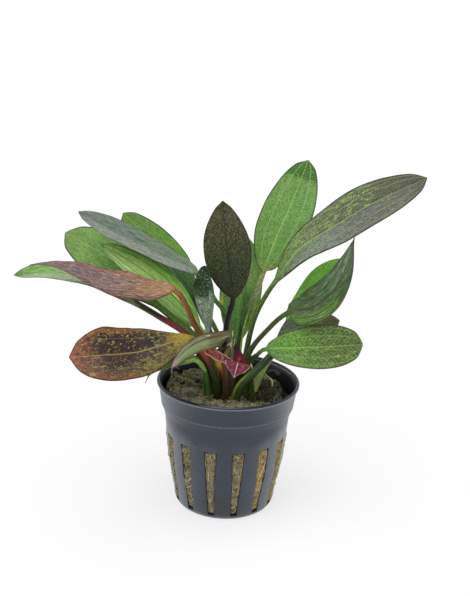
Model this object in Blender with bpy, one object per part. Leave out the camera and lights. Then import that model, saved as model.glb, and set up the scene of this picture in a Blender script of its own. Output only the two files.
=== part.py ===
# Red flame sword plant in a net pot: a rosette of stalked leaves on a short crown, planted in rock wool.
# The origin is the centre of the pot's underside, +Z is up and +X is to the right seen from the front (-Y).
import math

import bmesh
import bpy
from mathutils import Vector

MM = 0.001
FIT_GAP = 0.3 * MM

# Net pot: a common 5 cm aquarium pot, turned from an outline and pierced by tapered slots.
POT_HEIGHT = 48.0 * MM
POT_RIM_RADIUS = 26.0 * MM
POT_MOUTH_RADIUS = 24.9 * MM
POT_WALL = 1.2 * MM
POT_FLOOR = 1.6 * MM
POT_FACETS = 48
POT_INNER_HEIGHTS = (44.0 * MM, 39.0 * MM, 35.3 * MM, 16.5 * MM, 7.0 * MM)
SLOT_COUNT = 14
SLOT_TURN = math.radians(12.0)
SLOT_BOTTOM = 1.9 * MM
SLOT_TOP = 28.8 * MM
SLOT_WIDTH_BOTTOM = 2.5 * MM
SLOT_WIDTH_TOP = 4.7 * MM
SLOT_REACH = (13.5 * MM, 25.0 * MM)
DRAIN_COUNT = 7
DRAIN_WIDTH = 1.8 * MM
DRAIN_INNER = 6.5 * MM
DRAIN_OUTER = 12.5 * MM

# Rock wool plug. Its lumpy top climbs towards the rim in front and at the left, and sinks a little behind.
# At the right it stands back from the wall, and front right it has a hollow.
WOOL_FACETS = 24
WOOL_TOP = 43.2 * MM
WOOL_FOOT_RADIUS = 15.6 * MM
WOOL_SIDE_HEIGHTS = (7.0 * MM, 16.5 * MM, 35.3 * MM, 39.0 * MM)
WOOL_EDGE_RADIUS = 22.7 * MM
WOOL_TOP_SHARES = (1.0, 0.88, 0.74, 0.6)
RIGHT_GAP = 2.2 * MM
CLIMB_START = 13.0 * MM
CLIMB_WIDTH = 9.0 * MM
CLIMB_FRONT = 3.2 * MM
CLIMB_LEFT = 2.4 * MM
CLIMB_RIGHT = 0.6 * MM
CLIMB_BACK = -0.8 * MM
HOLLOW_CENTRE = (12.0 * MM, -6.5 * MM)
HOLLOW_RADIUS = 6.0 * MM
HOLLOW_DEPTH = 3.2 * MM
LUMP_HEIGHT = 0.5 * MM
LUMP_SPACING = (2.6 * MM, 3.1 * MM)

# Crown, the short stem that the stalks stand on, sunk in a pocket of the rock wool.
POCKET_RADIUS = 11.6 * MM
POCKET_LIP = 41.6 * MM
POCKET_FLOOR = 34.0 * MM
CROWN_FACETS = 20
CROWN_RADIUS = 11.0 * MM
CROWN_SHOULDER = 39.4 * MM
CROWN_TOP = 40.2 * MM
CROWN_TOP_RADIUS = 9.5 * MM

# Leaves: every leaf is one stalk and one blade, lofted along its midrib.
ROUTE_STEPS = 16
RING_SIDES = 8
STALK_RINGS = 6
BLADE_RINGS = 11
STALK_FOOT = 2.8
STALK_SETTLED = 0.6
STALK_DEPTH = 0.75
FOLD_REACHED = 0.25
BLADE_EDGE_BEND = 1.3
BLADE_THICKNESS = 0.3 * MM
TIP_WIDTH = 0.25 * MM
POINT_START = 0.93
TIP_CROWDING = 1.4

# One pale root shows above the rock wool.
ROOT_RADIUS = 0.4 * MM
ROOT_STEPS = 2
ROOT_ROUTE = ((10.9, 9.2, 44.6), (12.6, 9, 47.2), (15.2, 7.5, 45.8), (16.2, 5, 45.6), (16.4, 3.5, 44.1))


def tint(red, green, blue):
    """Colour seen in the photograph (0 to 255) as the linear colour a shader takes."""
    return tuple((v / 255) ** 2.2 for v in (red, green, blue)) + (1.0,)


def finish(name, mesh, colour, roughness):
    """Puts a mesh in the scene as one named object with a material of its own."""
    obj = bpy.data.objects.new(name, mesh)
    bpy.context.collection.objects.link(obj)
    material = bpy.data.materials.new(name)
    material.use_nodes = True
    shader = material.node_tree.nodes["Principled BSDF"]
    shader.inputs["Base Color"].default_value = tint(*colour)
    shader.inputs["Roughness"].default_value = roughness
    shader.inputs["Metallic"].default_value = 0.0
    mesh.materials.append(material)
    mesh.shade_smooth()
    mesh.set_sharp_from_angle(angle=math.radians(40))
    return obj


def loft(name, rings, closed=False):
    """Mesh through rings of points: open ends are capped, or the last ring joins the first."""
    bm = bmesh.new()
    rows = [[bm.verts.new(p) for p in ring] for ring in rings]
    pairs = list(zip(rows, rows[1:]))
    if closed:
        pairs.append((rows[-1], rows[0]))
    for low, high in pairs:
        for k in range(len(low)):
            n = (k + 1) % len(low)
            bm.faces.new((low[k], low[n], high[n], high[k]))
    if not closed:
        bm.faces.new(list(reversed(rows[0])))
        bm.faces.new(rows[-1])
    bmesh.ops.recalc_face_normals(bm, faces=bm.faces)
    mesh = bpy.data.meshes.new(name)
    bm.to_mesh(mesh)
    bm.free()
    return mesh


def circle(radius, height, facets):
    """Ring of points about the Z axis."""
    turns = [2 * math.pi * k / facets for k in range(facets)]
    return [Vector((radius * math.cos(a), radius * math.sin(a), height)) for a in turns]


def pot_outline():
    """Outer side of the pot from its foot to the rim, as radius and height."""
    foot = [(16.6, 0.0), (17.9, 0.6), (18.7, 2.4), (19.2, 7.0)]
    body = [(21.1, 16.5), (22.9, 35.3)]
    collar = [(24.3, 39.0), (25.0, 44.0), (25.2, 46.6)]
    side = [(r * MM, z * MM) for r, z in foot + body + collar]
    bead = [(POT_RIM_RADIUS, POT_HEIGHT - 1.1 * MM), (POT_RIM_RADIUS, POT_HEIGHT - 0.4 * MM)]
    return side + bead + [(POT_RIM_RADIUS - 0.5 * MM, POT_HEIGHT)]


def wall_radius(height):
    """Outer radius of the pot at a height, read off its outline."""
    outline = pot_outline()
    for (r0, z0), (r1, z1) in zip(outline, outline[1:]):
        if height <= z1:
            return r0 + (r1 - r0) * (height - z0) / (z1 - z0)
    return outline[-1][0]


def build_pot():
    """Turned shell with a floor, then the side slots and the drain slots cut through it."""
    outline = [(DRAIN_INNER, 0.0)] + pot_outline() + [(POT_MOUTH_RADIUS, POT_HEIGHT)]
    outline += [(wall_radius(z) - POT_WALL, z) for z in POT_INNER_HEIGHTS]
    outline += [(17.3 * MM, 2.8 * MM), (16.4 * MM, POT_FLOOR)]
    outline += [(DRAIN_OUTER, POT_FLOOR), (DRAIN_INNER, POT_FLOOR)]
    rings = [circle(r, z, POT_FACETS) for r, z in outline]
    pot = finish("net_pot", loft("net_pot", rings), (62, 69, 80), 0.38)
    cutter = bpy.data.objects.new("slot_cutter", slot_cutter())
    bpy.context.collection.objects.link(cutter)
    cutter.hide_render = True
    cutter.display_type = "WIRE"
    cut = pot.modifiers.new("slots", "BOOLEAN")
    cut.object = cutter
    cut.solver = "EXACT"
    return pot


def slot_cutter():
    """All slots as closed tapered blocks: tall ones through the wall, flat ones through the floor."""
    bm = bmesh.new()
    for k in range(SLOT_COUNT):
        turn = SLOT_TURN + 2 * math.pi * k / SLOT_COUNT
        levels = [(SLOT_BOTTOM, SLOT_WIDTH_BOTTOM / 2), (SLOT_TOP, SLOT_WIDTH_TOP / 2)]
        block(bm, turn, SLOT_REACH, levels)
    for k in range(DRAIN_COUNT):
        turn = SLOT_TURN + 2 * math.pi * (k + 0.5) / DRAIN_COUNT
        levels = [(-1.0 * MM, DRAIN_WIDTH / 2), (POT_FLOOR + 1.0 * MM, DRAIN_WIDTH / 2)]
        block(bm, turn, (DRAIN_INNER, DRAIN_OUTER), levels)
    bmesh.ops.recalc_face_normals(bm, faces=bm.faces)
    mesh = bpy.data.meshes.new("slot_cutter")
    bm.to_mesh(mesh)
    bm.free()
    return mesh


def block(bm, turn, reach, levels):
    """One closed radial block, turned from the front (-Y) towards +X, with a half width at each level."""
    along = Vector((math.sin(turn), -math.cos(turn), 0.0))
    across = Vector((math.cos(turn), math.sin(turn), 0.0))
    rows = []
    for height, half in levels:
        corners = [(reach[0], -half), (reach[1], -half), (reach[1], half), (reach[0], half)]
        rows.append([bm.verts.new(along * r + across * s + Vector((0, 0, height))) for r, s in corners])
    low, high = rows
    bm.faces.new(list(reversed(low)))
    bm.faces.new(high)
    for k in range(4):
        n = (k + 1) % 4
        bm.faces.new((low[k], low[n], high[n], high[k]))


def wool_height(x, y):
    """Lumpy top of the rock wool at a place in the pot."""
    r = math.hypot(x, y)
    sideways = (CLIMB_RIGHT if x > 0 else CLIMB_LEFT) * (x / r) ** 2
    lengthways = (CLIMB_BACK if y > 0 else CLIMB_FRONT) * (y / r) ** 2
    climb = (sideways + lengthways) * min(max((r - CLIMB_START) / CLIMB_WIDTH, 0.0), 1.0)
    away = math.hypot(x - HOLLOW_CENTRE[0], y - HOLLOW_CENTRE[1])
    hollow = HOLLOW_DEPTH * math.exp(-(away / HOLLOW_RADIUS) ** 2)
    lumps = LUMP_HEIGHT * math.sin(x / LUMP_SPACING[0] + 1.0) * math.cos(y / LUMP_SPACING[1])
    return WOOL_TOP + climb - hollow + lumps


def build_wool():
    """Plug of rock wool that fills the pot, with a lumpy top and the pocket the crown sits in."""
    rings = [circle(WOOL_FOOT_RADIUS, POT_FLOOR + FIT_GAP, WOOL_FACETS)]
    rings += [circle(wall_radius(z) - POT_WALL - 2 * FIT_GAP, z, WOOL_FACETS) for z in WOOL_SIDE_HEIGHTS]
    for share in WOOL_TOP_SHARES:
        ring = []
        for p in circle(1.0, 0.0, WOOL_FACETS):
            x, y = p.xy * (WOOL_EDGE_RADIUS - RIGHT_GAP * max(0.0, p.x) ** 2) * share
            ring.append(Vector((x, y, wool_height(x, y))))
        rings.append(ring)
    rings.append(circle(POCKET_RADIUS, POCKET_LIP, WOOL_FACETS))
    rings.append(circle(POCKET_RADIUS, POCKET_FLOOR, WOOL_FACETS))
    return finish("rock_wool", loft("rock_wool", rings), (104, 96, 62), 0.95)


def build_crown():
    """Short rooted stem that every stalk stands on, a low drum in the rock wool's pocket."""
    bottom = POCKET_FLOOR + FIT_GAP
    outline = [(CROWN_RADIUS / 2, bottom), (CROWN_RADIUS - MM, bottom + MM)]
    outline += [(CROWN_RADIUS, CROWN_SHOULDER), (CROWN_TOP_RADIUS, CROWN_TOP)]
    rings = [circle(r, z, CROWN_FACETS) for r, z in outline]
    return finish("crown", loft("crown", rings), (88, 84, 46), 0.8)


def smooth_route(points, steps):
    """Close points along the curve that passes smoothly through a route's own points."""
    ends = [points[0] * 2 - points[1]] + points + [points[-1] * 2 - points[-2]]
    curve = []
    for a, b, c, d in zip(ends, ends[1:], ends[2:], ends[3:]):
        for k in range(steps):
            t = k / steps
            pull = b * 2 + (c - a) * t + (a * 2 - b * 5 + c * 4 - d) * t ** 2
            curve.append((pull + (b * 3 - a - c * 3 + d) * t ** 3) / 2)
    return curve + [points[-1]]


def lengths_along(curve):
    """Distance from the start to each point of a curve."""
    total = [0.0]
    for a, b in zip(curve, curve[1:]):
        total.append(total[-1] + (b - a).length)
    return total


def at_distance(curve, lengths, distance):
    """Point and direction of a curve at a distance from its start."""
    k = 0
    while k < len(lengths) - 2 and lengths[k + 1] < distance:
        k += 1
    share = (distance - lengths[k]) / (lengths[k + 1] - lengths[k])
    return curve[k].lerp(curve[k + 1], share), (curve[k + 1] - curve[k]).normalized()


def blade_outline(t, leaf):
    """Half width of a blade as a share of its greatest, from its neck (0) to its tip (1)."""
    widest = leaf["widest"]
    if t < widest:
        return math.sin(math.pi / 2 * t / widest) ** leaf["taper"]
    past = min(1.0, (t - widest) / (1 - widest))
    curved = math.cos(math.pi / 2 * past) ** leaf["blunt"]
    left = min(1.0, max(0.0, (1 - t) / (1 - POINT_START)))
    return curved * math.sqrt(math.sin(math.pi / 2 * left))


def leaf_rings(leaf):
    """Rings of points that wrap one leaf, from the stalk's foot, flat on the crown, to the blade's tip."""
    route = [Vector(p) * MM for p in leaf["route"]]
    curve = smooth_route(route, ROUTE_STEPS)
    lengths = lengths_along(curve)
    neck = lengths[leaf["neck"] * ROUTE_STEPS]
    whole = lengths[-1]
    stalk = leaf["stalk"] * MM / 2
    foot = leaf.get("foot", STALK_FOOT) * MM / 2
    stations = [neck * k / STALK_RINGS for k in range(STALK_RINGS)]
    shares = [1 - (1 - k / BLADE_RINGS) ** TIP_CROWDING for k in range(BLADE_RINGS + 1)]
    stations += [neck + (whole - neck) * share for share in shares]
    rings = []
    for distance in stations:
        point, ahead = at_distance(curve, lengths, distance)
        if distance < neck:
            t = 0.0
            half = foot + (stalk - foot) * min(1.0, distance / neck / STALK_SETTLED)
            thick = half * STALK_DEPTH
        else:
            t = (distance - neck) / (whole - neck)
            swell = leaf["width"] * MM / 2 * blade_outline(t, leaf)
            half = swell + stalk * (1 - t) ** 2 + TIP_WIDTH * t
            thick = stalk * STALK_DEPTH * (1 - t) ** 2 + BLADE_THICKNESS * (0.4 + 0.6 * (1 - t))
        faces = Vector(leaf["faces"][0]).lerp(Vector(leaf["faces"][1]), t)
        up = (faces - ahead * faces.dot(ahead)).normalized()
        side = ahead.cross(up)
        bend = leaf["fold"] * min(1.0, t / FOLD_REACHED)
        ring = []
        for k in range(RING_SIDES):
            a = 2 * math.pi * k / RING_SIDES
            lift = thick * math.sin(a) + bend * half * abs(math.cos(a)) ** BLADE_EDGE_BEND
            ring.append(point + side * half * math.cos(a) + up * lift)
        rings.append(ring)
    for corner in rings[0]:
        corner.z = CROWN_TOP + FIT_GAP
    return rings


# Routes are in millimetres, from the stalk's foot on the crown to the blade's tip. "neck" counts the route
# point where the blade starts, "faces" is where its upper side looks at the neck and at the tip. "widest" is
# where along the blade it is broadest, "taper" draws out its base and "blunt" rounds its tip as it falls.
# "foot" is the width of a stalk at its foot where it differs from STALK_FOOT.
LEAVES = [
    {"name": "leaf_right_long", "width": 17.5, "widest": 0.6, "taper": 0.9, "blunt": 0.55, "fold": 0.1,
     "stalk": 1.9, "neck": 4, "faces": ((-0.4, -0.7, 0.6), (-0.3, -0.7, 0.7)), "colour": (88, 96, 70),
     "route": ((5.6, 1.4, 41.5), (6.2, 4, 57), (8.5, 6, 69), (12, 8, 77), (16, 9, 83.5),
               (24, 10, 95), (36, 12, 103.5), (49, 14, 112), (68.5, 18, 121.5))},
    {"name": "leaf_tall_green", "width": 18, "widest": 0.5, "taper": 0.6, "blunt": 0.55, "fold": 0.08,
     "stalk": 1.9, "neck": 4, "faces": ((-0.1, -0.9, 0.4), (-0.2, -0.9, 0.3)), "colour": (96, 150, 62),
     "route": ((3, 3.8, 41.5), (3.6, 8, 59.5), (5.7, 10, 70.5), (9, 12, 77.5), (11.5, 14, 85.5),
               (15.5, 18, 97), (20.5, 23, 108.5), (26.5, 31, 124))},
    {"name": "leaf_dark_upright", "width": 16, "widest": 0.5, "taper": 0.7, "blunt": 0.75, "fold": 0.08,
     "stalk": 1.9, "neck": 3, "faces": ((0.0, -0.95, 0.2), (0.0, -0.95, 0.3)), "colour": (58, 56, 40),
     "route": ((-1, 0.6, 41.5), (-2, 0.5, 61), (-1, 0, 71.5), (0.5, 0, 79), (-1.5, 1, 91.5),
               (-3.3, 3, 103), (-4.5, 6, 112.5))},
    {"name": "leaf_behind_dark", "width": 15, "widest": 0.5, "taper": 0.8, "blunt": 0.7, "fold": 0.08,
     "stalk": 1.8, "neck": 1, "faces": ((0.1, -0.95, 0.2), (0.0, -0.95, 0.3)), "colour": (78, 130, 56),
     "route": ((1.4, 8.4, 41.5), (2, 13, 56.5), (3, 17, 73), (4.5, 20, 86.5), (5, 22, 96))},
    {"name": "leaf_right_curved", "width": 12.2, "widest": 0.32, "taper": 0.45, "blunt": 1.1, "fold": 0.3,
     "stalk": 1.8, "neck": 3, "faces": ((-0.25, -0.75, 0.6), (-0.8, -0.6, 0.1)), "colour": (62, 84, 56),
     "route": ((5.9, -1.8, 41.5), (6.7, -1, 57.5), (14, -3, 69.5), (20, -6, 76.3), (25, -7.6, 77.6),
               (29.8, -8.7, 80.2), (34, -9.2, 84.4), (37.2, -8.5, 89.8), (39.4, -5.6, 95.4),
               (41.8, 0, 102.7))},
    {"name": "leaf_right_back", "width": 12, "widest": 0.6, "taper": 0.8, "blunt": 0.7, "fold": 0.08,
     "stalk": 2.6, "neck": 3, "faces": ((-0.4, -0.7, 0.6), (-0.4, -0.7, 0.6)), "colour": (86, 150, 58),
     "route": ((9.4, 3.4, 41.5), (12.5, 6, 49), (17.5, 9, 58), (21.5, 12, 66.5), (29.5, 16, 76),
               (36.5, 19, 83.5), (44, 22, 89))},
    {"name": "leaf_right_low", "width": 15, "widest": 0.62, "taper": 0.62, "blunt": 0.42, "fold": 0.06,
     "stalk": 1.5, "neck": 3, "faces": ((0.0, -0.85, 0.5), (0.1, -0.85, 0.5)), "colour": (92, 136, 56),
     "route": ((8.6, -4, 41.5), (7.8, -5, 56.5), (10, -7, 60.5), (13, -9, 63.5), (24.5, -13, 66),
               (35.5, -15, 67.7), (45.3, -17, 69.6))},
    {"name": "leaf_right_under", "width": 14, "widest": 0.5, "taper": 0.9, "blunt": 0.7, "fold": 0.08,
     "stalk": 2.8, "foot": 4.0, "neck": 4, "faces": ((-0.3, -0.6, 0.7), (-0.1, -0.6, 0.8)),
     "colour": (64, 86, 60),
     "route": ((2.4, -6.9, 41.5), (4.2, -8.2, 48.3), (7.6, -7.6, 52.3), (12.1, -5.5, 56.4), (17, -2.5, 61),
               (25, 1, 66.5), (32.5, 3, 69), (39.5, 5, 70.5))},
    {"name": "leaf_left_brown", "width": 19.5, "widest": 0.68, "taper": 0.9, "blunt": 0.6, "fold": 0.08,
     "stalk": 2.4, "foot": 3.0, "neck": 6, "faces": ((0.1, -0.6, 0.8), (-0.1, -0.75, 0.65)),
     "colour": (112, 66, 44),
     "route": ((-3.8, -6.4, 41.5), (-3.8, -8.6, 48.5), (-5.2, -9.6, 53.5), (-6.9, -10.6, 57.8),
               (-9, -11.6, 62), (-11.3, -13.2, 65.9), (-14, -16.2, 69), (-20, -22, 69), (-30.5, -29, 68),
               (-40.5, -35, 69.1), (-51, -38, 69))},
    {"name": "leaf_front_folded", "width": 6.8, "widest": 0.38, "taper": 0.7, "blunt": 0.83, "fold": 0.2,
     "stalk": 1.8, "neck": 3, "faces": ((-0.2, 0.9, 0.3), (-0.2, 0.95, 0.05)), "colour": (128, 140, 100),
     "route": ((1.1, -3.6, 41.5), (0.8, -7, 57.3), (0.4, -9, 64.1), (-0.4, -11, 69), (-5.1, -15.5, 68),
               (-10.1, -20.5, 68.2), (-14.1, -25.5, 67.5), (-16.4, -29, 66.3), (-18.9, -32, 64.1))},
    {"name": "leaf_left_mauve", "width": 13.5, "widest": 0.4, "taper": 0.6, "blunt": 1.5, "fold": 0.12,
     "stalk": 2.3, "neck": 6, "faces": ((0.0, -0.4, 0.9), (0.0, -0.2, 0.98)), "colour": (142, 104, 84),
     "route": ((-2, -3, 41.5), (-1.8, -4.8, 49.3), (-3.4, -6, 55.1), (-5.5, -6.4, 60.2), (-11.2, -7, 68.1),
               (-16, -9, 79), (-20, -10, 84.5), (-28, -11, 84), (-34.5, -12, 85), (-43.5, -13, 87),
               (-51.5, -14, 90.5), (-60, -15, 93), (-68, -15, 92.5))},
    {"name": "leaf_left_low", "width": 10.5, "widest": 0.56, "taper": 1.1, "blunt": 0.5, "fold": 0.2,
     "stalk": 2.4, "neck": 6, "faces": ((0.1, -0.4, 0.9), (0.1, -0.3, 0.95)), "colour": (110, 146, 78),
     "route": ((-4.9, -1.6, 41.5), (-5.5, -4.3, 48.2), (-7.3, -7.2, 55.5), (-9.9, -7.8, 60.5),
               (-15, -8.5, 67.5), (-25, -4, 72), (-34, -3.2, 76.8), (-49.5, -4, 85), (-63, -6, 87.5),
               (-75, -8, 86.5))},
    {"name": "leaf_left_broad", "width": 19, "widest": 0.62, "taper": 0.7, "blunt": 0.48, "fold": 0.08,
     "stalk": 2.0, "neck": 2, "faces": ((0.35, -0.75, 0.55), (0.2, -0.8, 0.55)), "colour": (88, 142, 66),
     "route": ((-8, 3, 41.5), (-8.2, 3.2, 57.5), (-15.5, 4, 65.5), (-23.5, 6.5, 76.5), (-36.5, 11, 83.5),
               (-50, 17, 89.5), (-63, 23, 94.5))},
    {"name": "leaf_left_grey", "width": 14, "widest": 0.68, "taper": 0.5, "blunt": 0.6, "fold": 0.08,
     "stalk": 2.0, "neck": 3, "faces": ((0.2, -0.3, 0.9), (0.1, -0.2, 0.95)), "colour": (118, 124, 114),
     "route": ((-1.8, 4, 41.5), (-1.8, 5, 68.5), (-6, 6, 76), (-13, 7, 85.5), (-22.5, 7.5, 90),
               (-33.5, 8, 95.5), (-44.5, 9, 100.5), (-56, 11, 105.5))},
    {"name": "leaf_back_left", "width": 13, "widest": 0.64, "taper": 1.4, "blunt": 0.5, "fold": 0.08,
     "stalk": 2.0, "neck": 3, "faces": ((0.5, -0.7, 0.5), (0.3, -0.75, 0.5)), "colour": (74, 138, 40),
     "route": ((-2.2, 9, 41.5), (-3.5, 13, 56), (-6.5, 16, 63), (-12.5, 19, 71.5), (-18.5, 23.5, 82),
               (-25, 27, 87), (-34.5, 31, 93.5), (-43, 36, 100))},
    {"name": "leaf_left_bright", "width": 13, "widest": 0.5, "taper": 0.7, "blunt": 0.6, "fold": 0.1,
     "stalk": 2.0, "neck": 2, "faces": ((0.3, -0.6, 0.75), (0.2, -0.5, 0.85)), "colour": (128, 168, 78),
     "route": ((-4.6, 1.4, 41.5), (-6.8, 0.2, 60.5), (-11.5, -1, 68), (-19.5, 0, 77), (-26.5, 1, 83.5),
               (-32, 2, 87.5), (-38.5, 4, 91), (-47, 6, 95))},
    {"name": "leaf_left_dark", "width": 12, "widest": 0.5, "taper": 0.7, "blunt": 0.7, "fold": 0.1,
     "stalk": 2.0, "neck": 3, "faces": ((0.4, -0.7, 0.6), (0.3, -0.7, 0.6)), "colour": (52, 88, 48),
     "route": ((-5.2, 6, 41.5), (-6.5, 9, 59.5), (-10.5, 12, 67), (-14.5, 15, 74), (-18, 17, 78.5),
               (-25, 20, 85.5), (-32, 23, 93))},
    {"name": "leaf_young", "width": 12.2, "widest": 0.7, "taper": 0.8, "blunt": 0.4, "fold": 0.6,
     "stalk": 1.6, "neck": 2, "faces": ((-0.8, -0.5, 0.1), (-0.8, -0.5, 0.2)), "colour": (58, 88, 66),
     "route": ((-7.4, 0.2, 41.5), (-7.3, -1.9, 60), (-7.8, -5.2, 67), (-6.9, -7, 75.5), (-6.7, -7, 83.5),
               (-8.3, -6.5, 88.5), (-11, -5.2, 91.3))},
    {"name": "leaf_crumpled", "width": 6.6, "widest": 0.78, "taper": 6.5, "blunt": 1.3, "fold": 0.1,
     "stalk": 1.6, "neck": 5, "faces": ((0.1, -0.6, 0.7), (0.1, -0.95, 0.1)), "colour": (138, 52, 78),
     "route": ((-0.9, -8.6, 41.5), (-0.9, -10.2, 52.4), (-1.8, -10.2, 58), (-3.8, -11, 61.8),
               (-5.6, -12.2, 63.5), (-7.1, -14.3, 63.6), (-4.3, -16.2, 63.1), (-1.4, -17.3, 62.2),
               (0.8, -18.3, 61.4), (3.1, -19, 60.5), (2.7, -19.4, 56.2))},
    {"name": "leaf_stub_red", "width": 3.8, "widest": 0.35, "taper": 0.7, "blunt": 0.9, "fold": 0.2,
     "stalk": 2.0, "neck": 1, "faces": ((0.0, -0.9, 0.3), (0.0, -0.9, 0.3)), "colour": (104, 34, 40),
     "route": ((1.9, -0.4, 41.5), (4.4, -3.6, 52), (3.8, -4.4, 57), (1.8, -4.6, 61.5), (0.4, -4, 65))},
    {"name": "leaf_left_drooping", "width": 5, "widest": 0.4, "taper": 0.7, "blunt": 1.9, "fold": 0.1,
     "stalk": 2.4, "foot": 3.2, "neck": 4, "faces": ((-0.2, -0.5, 0.8), (-0.4, -0.3, 0.85)),
     "colour": (96, 150, 62),
     "route": ((-7.6, -4.6, 41.5), (-7.8, -6.8, 48.3), (-8.4, -9.6, 54), (-10.3, -13.4, 59.2),
               (-12.6, -15.8, 61.5), (-16.5, -17.6, 61.8), (-20.8, -19.2, 61), (-24.6, -20.3, 59.2),
               (-26.9, -20.5, 56.9), (-28.4, -20.3, 53.7))},
]


def build_leaf(leaf):
    """One leaf, stalk and blade in one piece."""
    return finish(leaf["name"], loft(leaf["name"], leaf_rings(leaf)), leaf["colour"], 0.45)


def build_root():
    """Thin pale root that leaves the crown, arches over the rock wool and dips back into it."""
    route = [Vector(p) * MM for p in ROOT_ROUTE]
    curve = smooth_route(route, ROOT_STEPS)
    turns = [2 * math.pi * k / RING_SIDES for k in range(RING_SIDES)]
    rings = []
    for before, point, after in zip([curve[0]] + curve, curve, curve[1:] + [curve[-1]]):
        ahead = (after - before).normalized()
        side = ahead.cross(Vector((0, 1, 0))).normalized() * ROOT_RADIUS
        up = ahead.cross(side)
        rings.append([point + side * math.cos(a) + up * math.sin(a) for a in turns])
    return finish("root_pale", loft("root_pale", rings), (196, 188, 132), 0.6)


def clear_scene():
    for obj in list(bpy.data.objects):
        bpy.data.objects.remove(obj)


def main():
    clear_scene()
    build_pot()
    build_wool()
    build_crown()
    build_root()
    for leaf in LEAVES:
        build_leaf(leaf)


main()
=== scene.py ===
import math
import random

import bmesh
import bpy
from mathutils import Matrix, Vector, noise


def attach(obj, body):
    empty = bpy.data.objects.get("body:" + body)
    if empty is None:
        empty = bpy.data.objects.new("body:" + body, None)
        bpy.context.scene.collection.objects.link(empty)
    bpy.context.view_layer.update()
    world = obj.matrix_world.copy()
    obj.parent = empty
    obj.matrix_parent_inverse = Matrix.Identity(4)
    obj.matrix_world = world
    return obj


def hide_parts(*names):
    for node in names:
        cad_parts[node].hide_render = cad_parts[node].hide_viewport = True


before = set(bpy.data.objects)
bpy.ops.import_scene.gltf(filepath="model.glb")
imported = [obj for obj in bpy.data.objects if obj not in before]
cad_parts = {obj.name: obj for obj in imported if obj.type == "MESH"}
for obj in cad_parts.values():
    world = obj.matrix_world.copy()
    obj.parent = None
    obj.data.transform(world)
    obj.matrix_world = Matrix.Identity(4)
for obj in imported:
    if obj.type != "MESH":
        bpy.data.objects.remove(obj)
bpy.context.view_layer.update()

# Camera: about 31 cm in front of the pot and 18 cm up, looking down on the plant, and leaning
# slightly so that the right side of the picture sits lower, as in the photograph.
MM = 0.001
CAMERA_PLACE = Vector((0.0, -309.8, 178.0)) * MM
CAMERA_AIM = Vector((1.2, -0.2, 79.0)) * MM
CAMERA_ROLL = math.radians(2.38)
CAMERA_LENS = 55.35
CAMERA_SENSOR = 36.0
CAMERA_NEAR = 0.01
scene = bpy.context.scene
camera = bpy.data.objects.new("camera", bpy.data.cameras.new("camera"))
scene.collection.objects.link(camera)
camera.location = CAMERA_PLACE
camera.rotation_euler = (CAMERA_AIM - CAMERA_PLACE).to_track_quat("-Z", "Y").to_euler()
camera.rotation_euler.rotate_axis("Z", CAMERA_ROLL)
camera.data.lens = CAMERA_LENS
camera.data.sensor_width = CAMERA_SENSOR
camera.data.clip_start = CAMERA_NEAR
scene.camera = camera

# Studio: a plain white floor, lit through from below as a light table is, under a white room with a
# soft high lamp and a softer one in front. There is no film curve, so colours come out as given.
WHITE = (1, 1, 1, 1)
FLOOR_SIZE = 30.0
FLOOR_DROP = 0.05 * MM
FLOOR_GREY = (0.3, 0.3, 0.3, 1)
FLOOR_ROUGHNESS = 0.9
FLOOR_GLOW = 0.68
ROOM_LIGHT = 0.6
LAMPS = (
    ("lamp_high", (0.15, 0.10, -1.0), 45.0, 1.15),
    ("lamp_front", (0.35, 0.75, -0.85), 50.0, 0.5),
)
scene.view_settings.view_transform = "Standard"
scene.view_settings.look = "None"
floor_mesh = bpy.data.meshes.new("floor")
floor_corners = ((-1, -1), (1, -1), (1, 1), (-1, 1))
floor_corners = [(x * FLOOR_SIZE, y * FLOOR_SIZE, -FLOOR_DROP) for x, y in floor_corners]
floor_mesh.from_pydata(floor_corners, [], [(0, 1, 2, 3)])
floor = bpy.data.objects.new("floor", floor_mesh)
scene.collection.objects.link(floor)
floor_paint = bpy.data.materials.new("floor_white")
floor_paint.use_nodes = True
floor_shader = floor_paint.node_tree.nodes["Principled BSDF"].inputs
floor_shader["Base Color"].default_value = FLOOR_GREY
floor_shader["Roughness"].default_value = FLOOR_ROUGHNESS
floor_shader["Emission Color"].default_value = WHITE
floor_shader["Emission Strength"].default_value = FLOOR_GLOW
floor_mesh.materials.append(floor_paint)

room = bpy.data.worlds.new("white_room")
room.use_nodes = True
scene.world = room
room_nodes = room.node_tree.nodes
room_light = room_nodes["Background"]
room_light.inputs["Color"].default_value = WHITE
room_light.inputs["Strength"].default_value = ROOM_LIGHT
room_seen = room_nodes.new("ShaderNodeBackground")
room_seen.inputs["Color"].default_value = WHITE
room_ray = room_nodes.new("ShaderNodeLightPath")
room_choice = room_nodes.new("ShaderNodeMixShader")
for output, socket in (
    (room_ray.outputs["Is Camera Ray"], room_choice.inputs["Fac"]),
    (room_light.outputs[0], room_choice.inputs[1]),
    (room_seen.outputs[0], room_choice.inputs[2]),
    (room_choice.outputs[0], room_nodes["World Output"].inputs["Surface"]),
):
    room.node_tree.links.new(output, socket)

for lamp_name, lamp_aim, lamp_spread, lamp_power in LAMPS:
    lamp = bpy.data.objects.new(lamp_name, bpy.data.lights.new(lamp_name, "SUN"))
    scene.collection.objects.link(lamp)
    lamp.rotation_euler = Vector(lamp_aim).to_track_quat("-Z", "Y").to_euler()
    lamp.data.angle = math.radians(lamp_spread)
    lamp.data.energy = lamp_power


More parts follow.
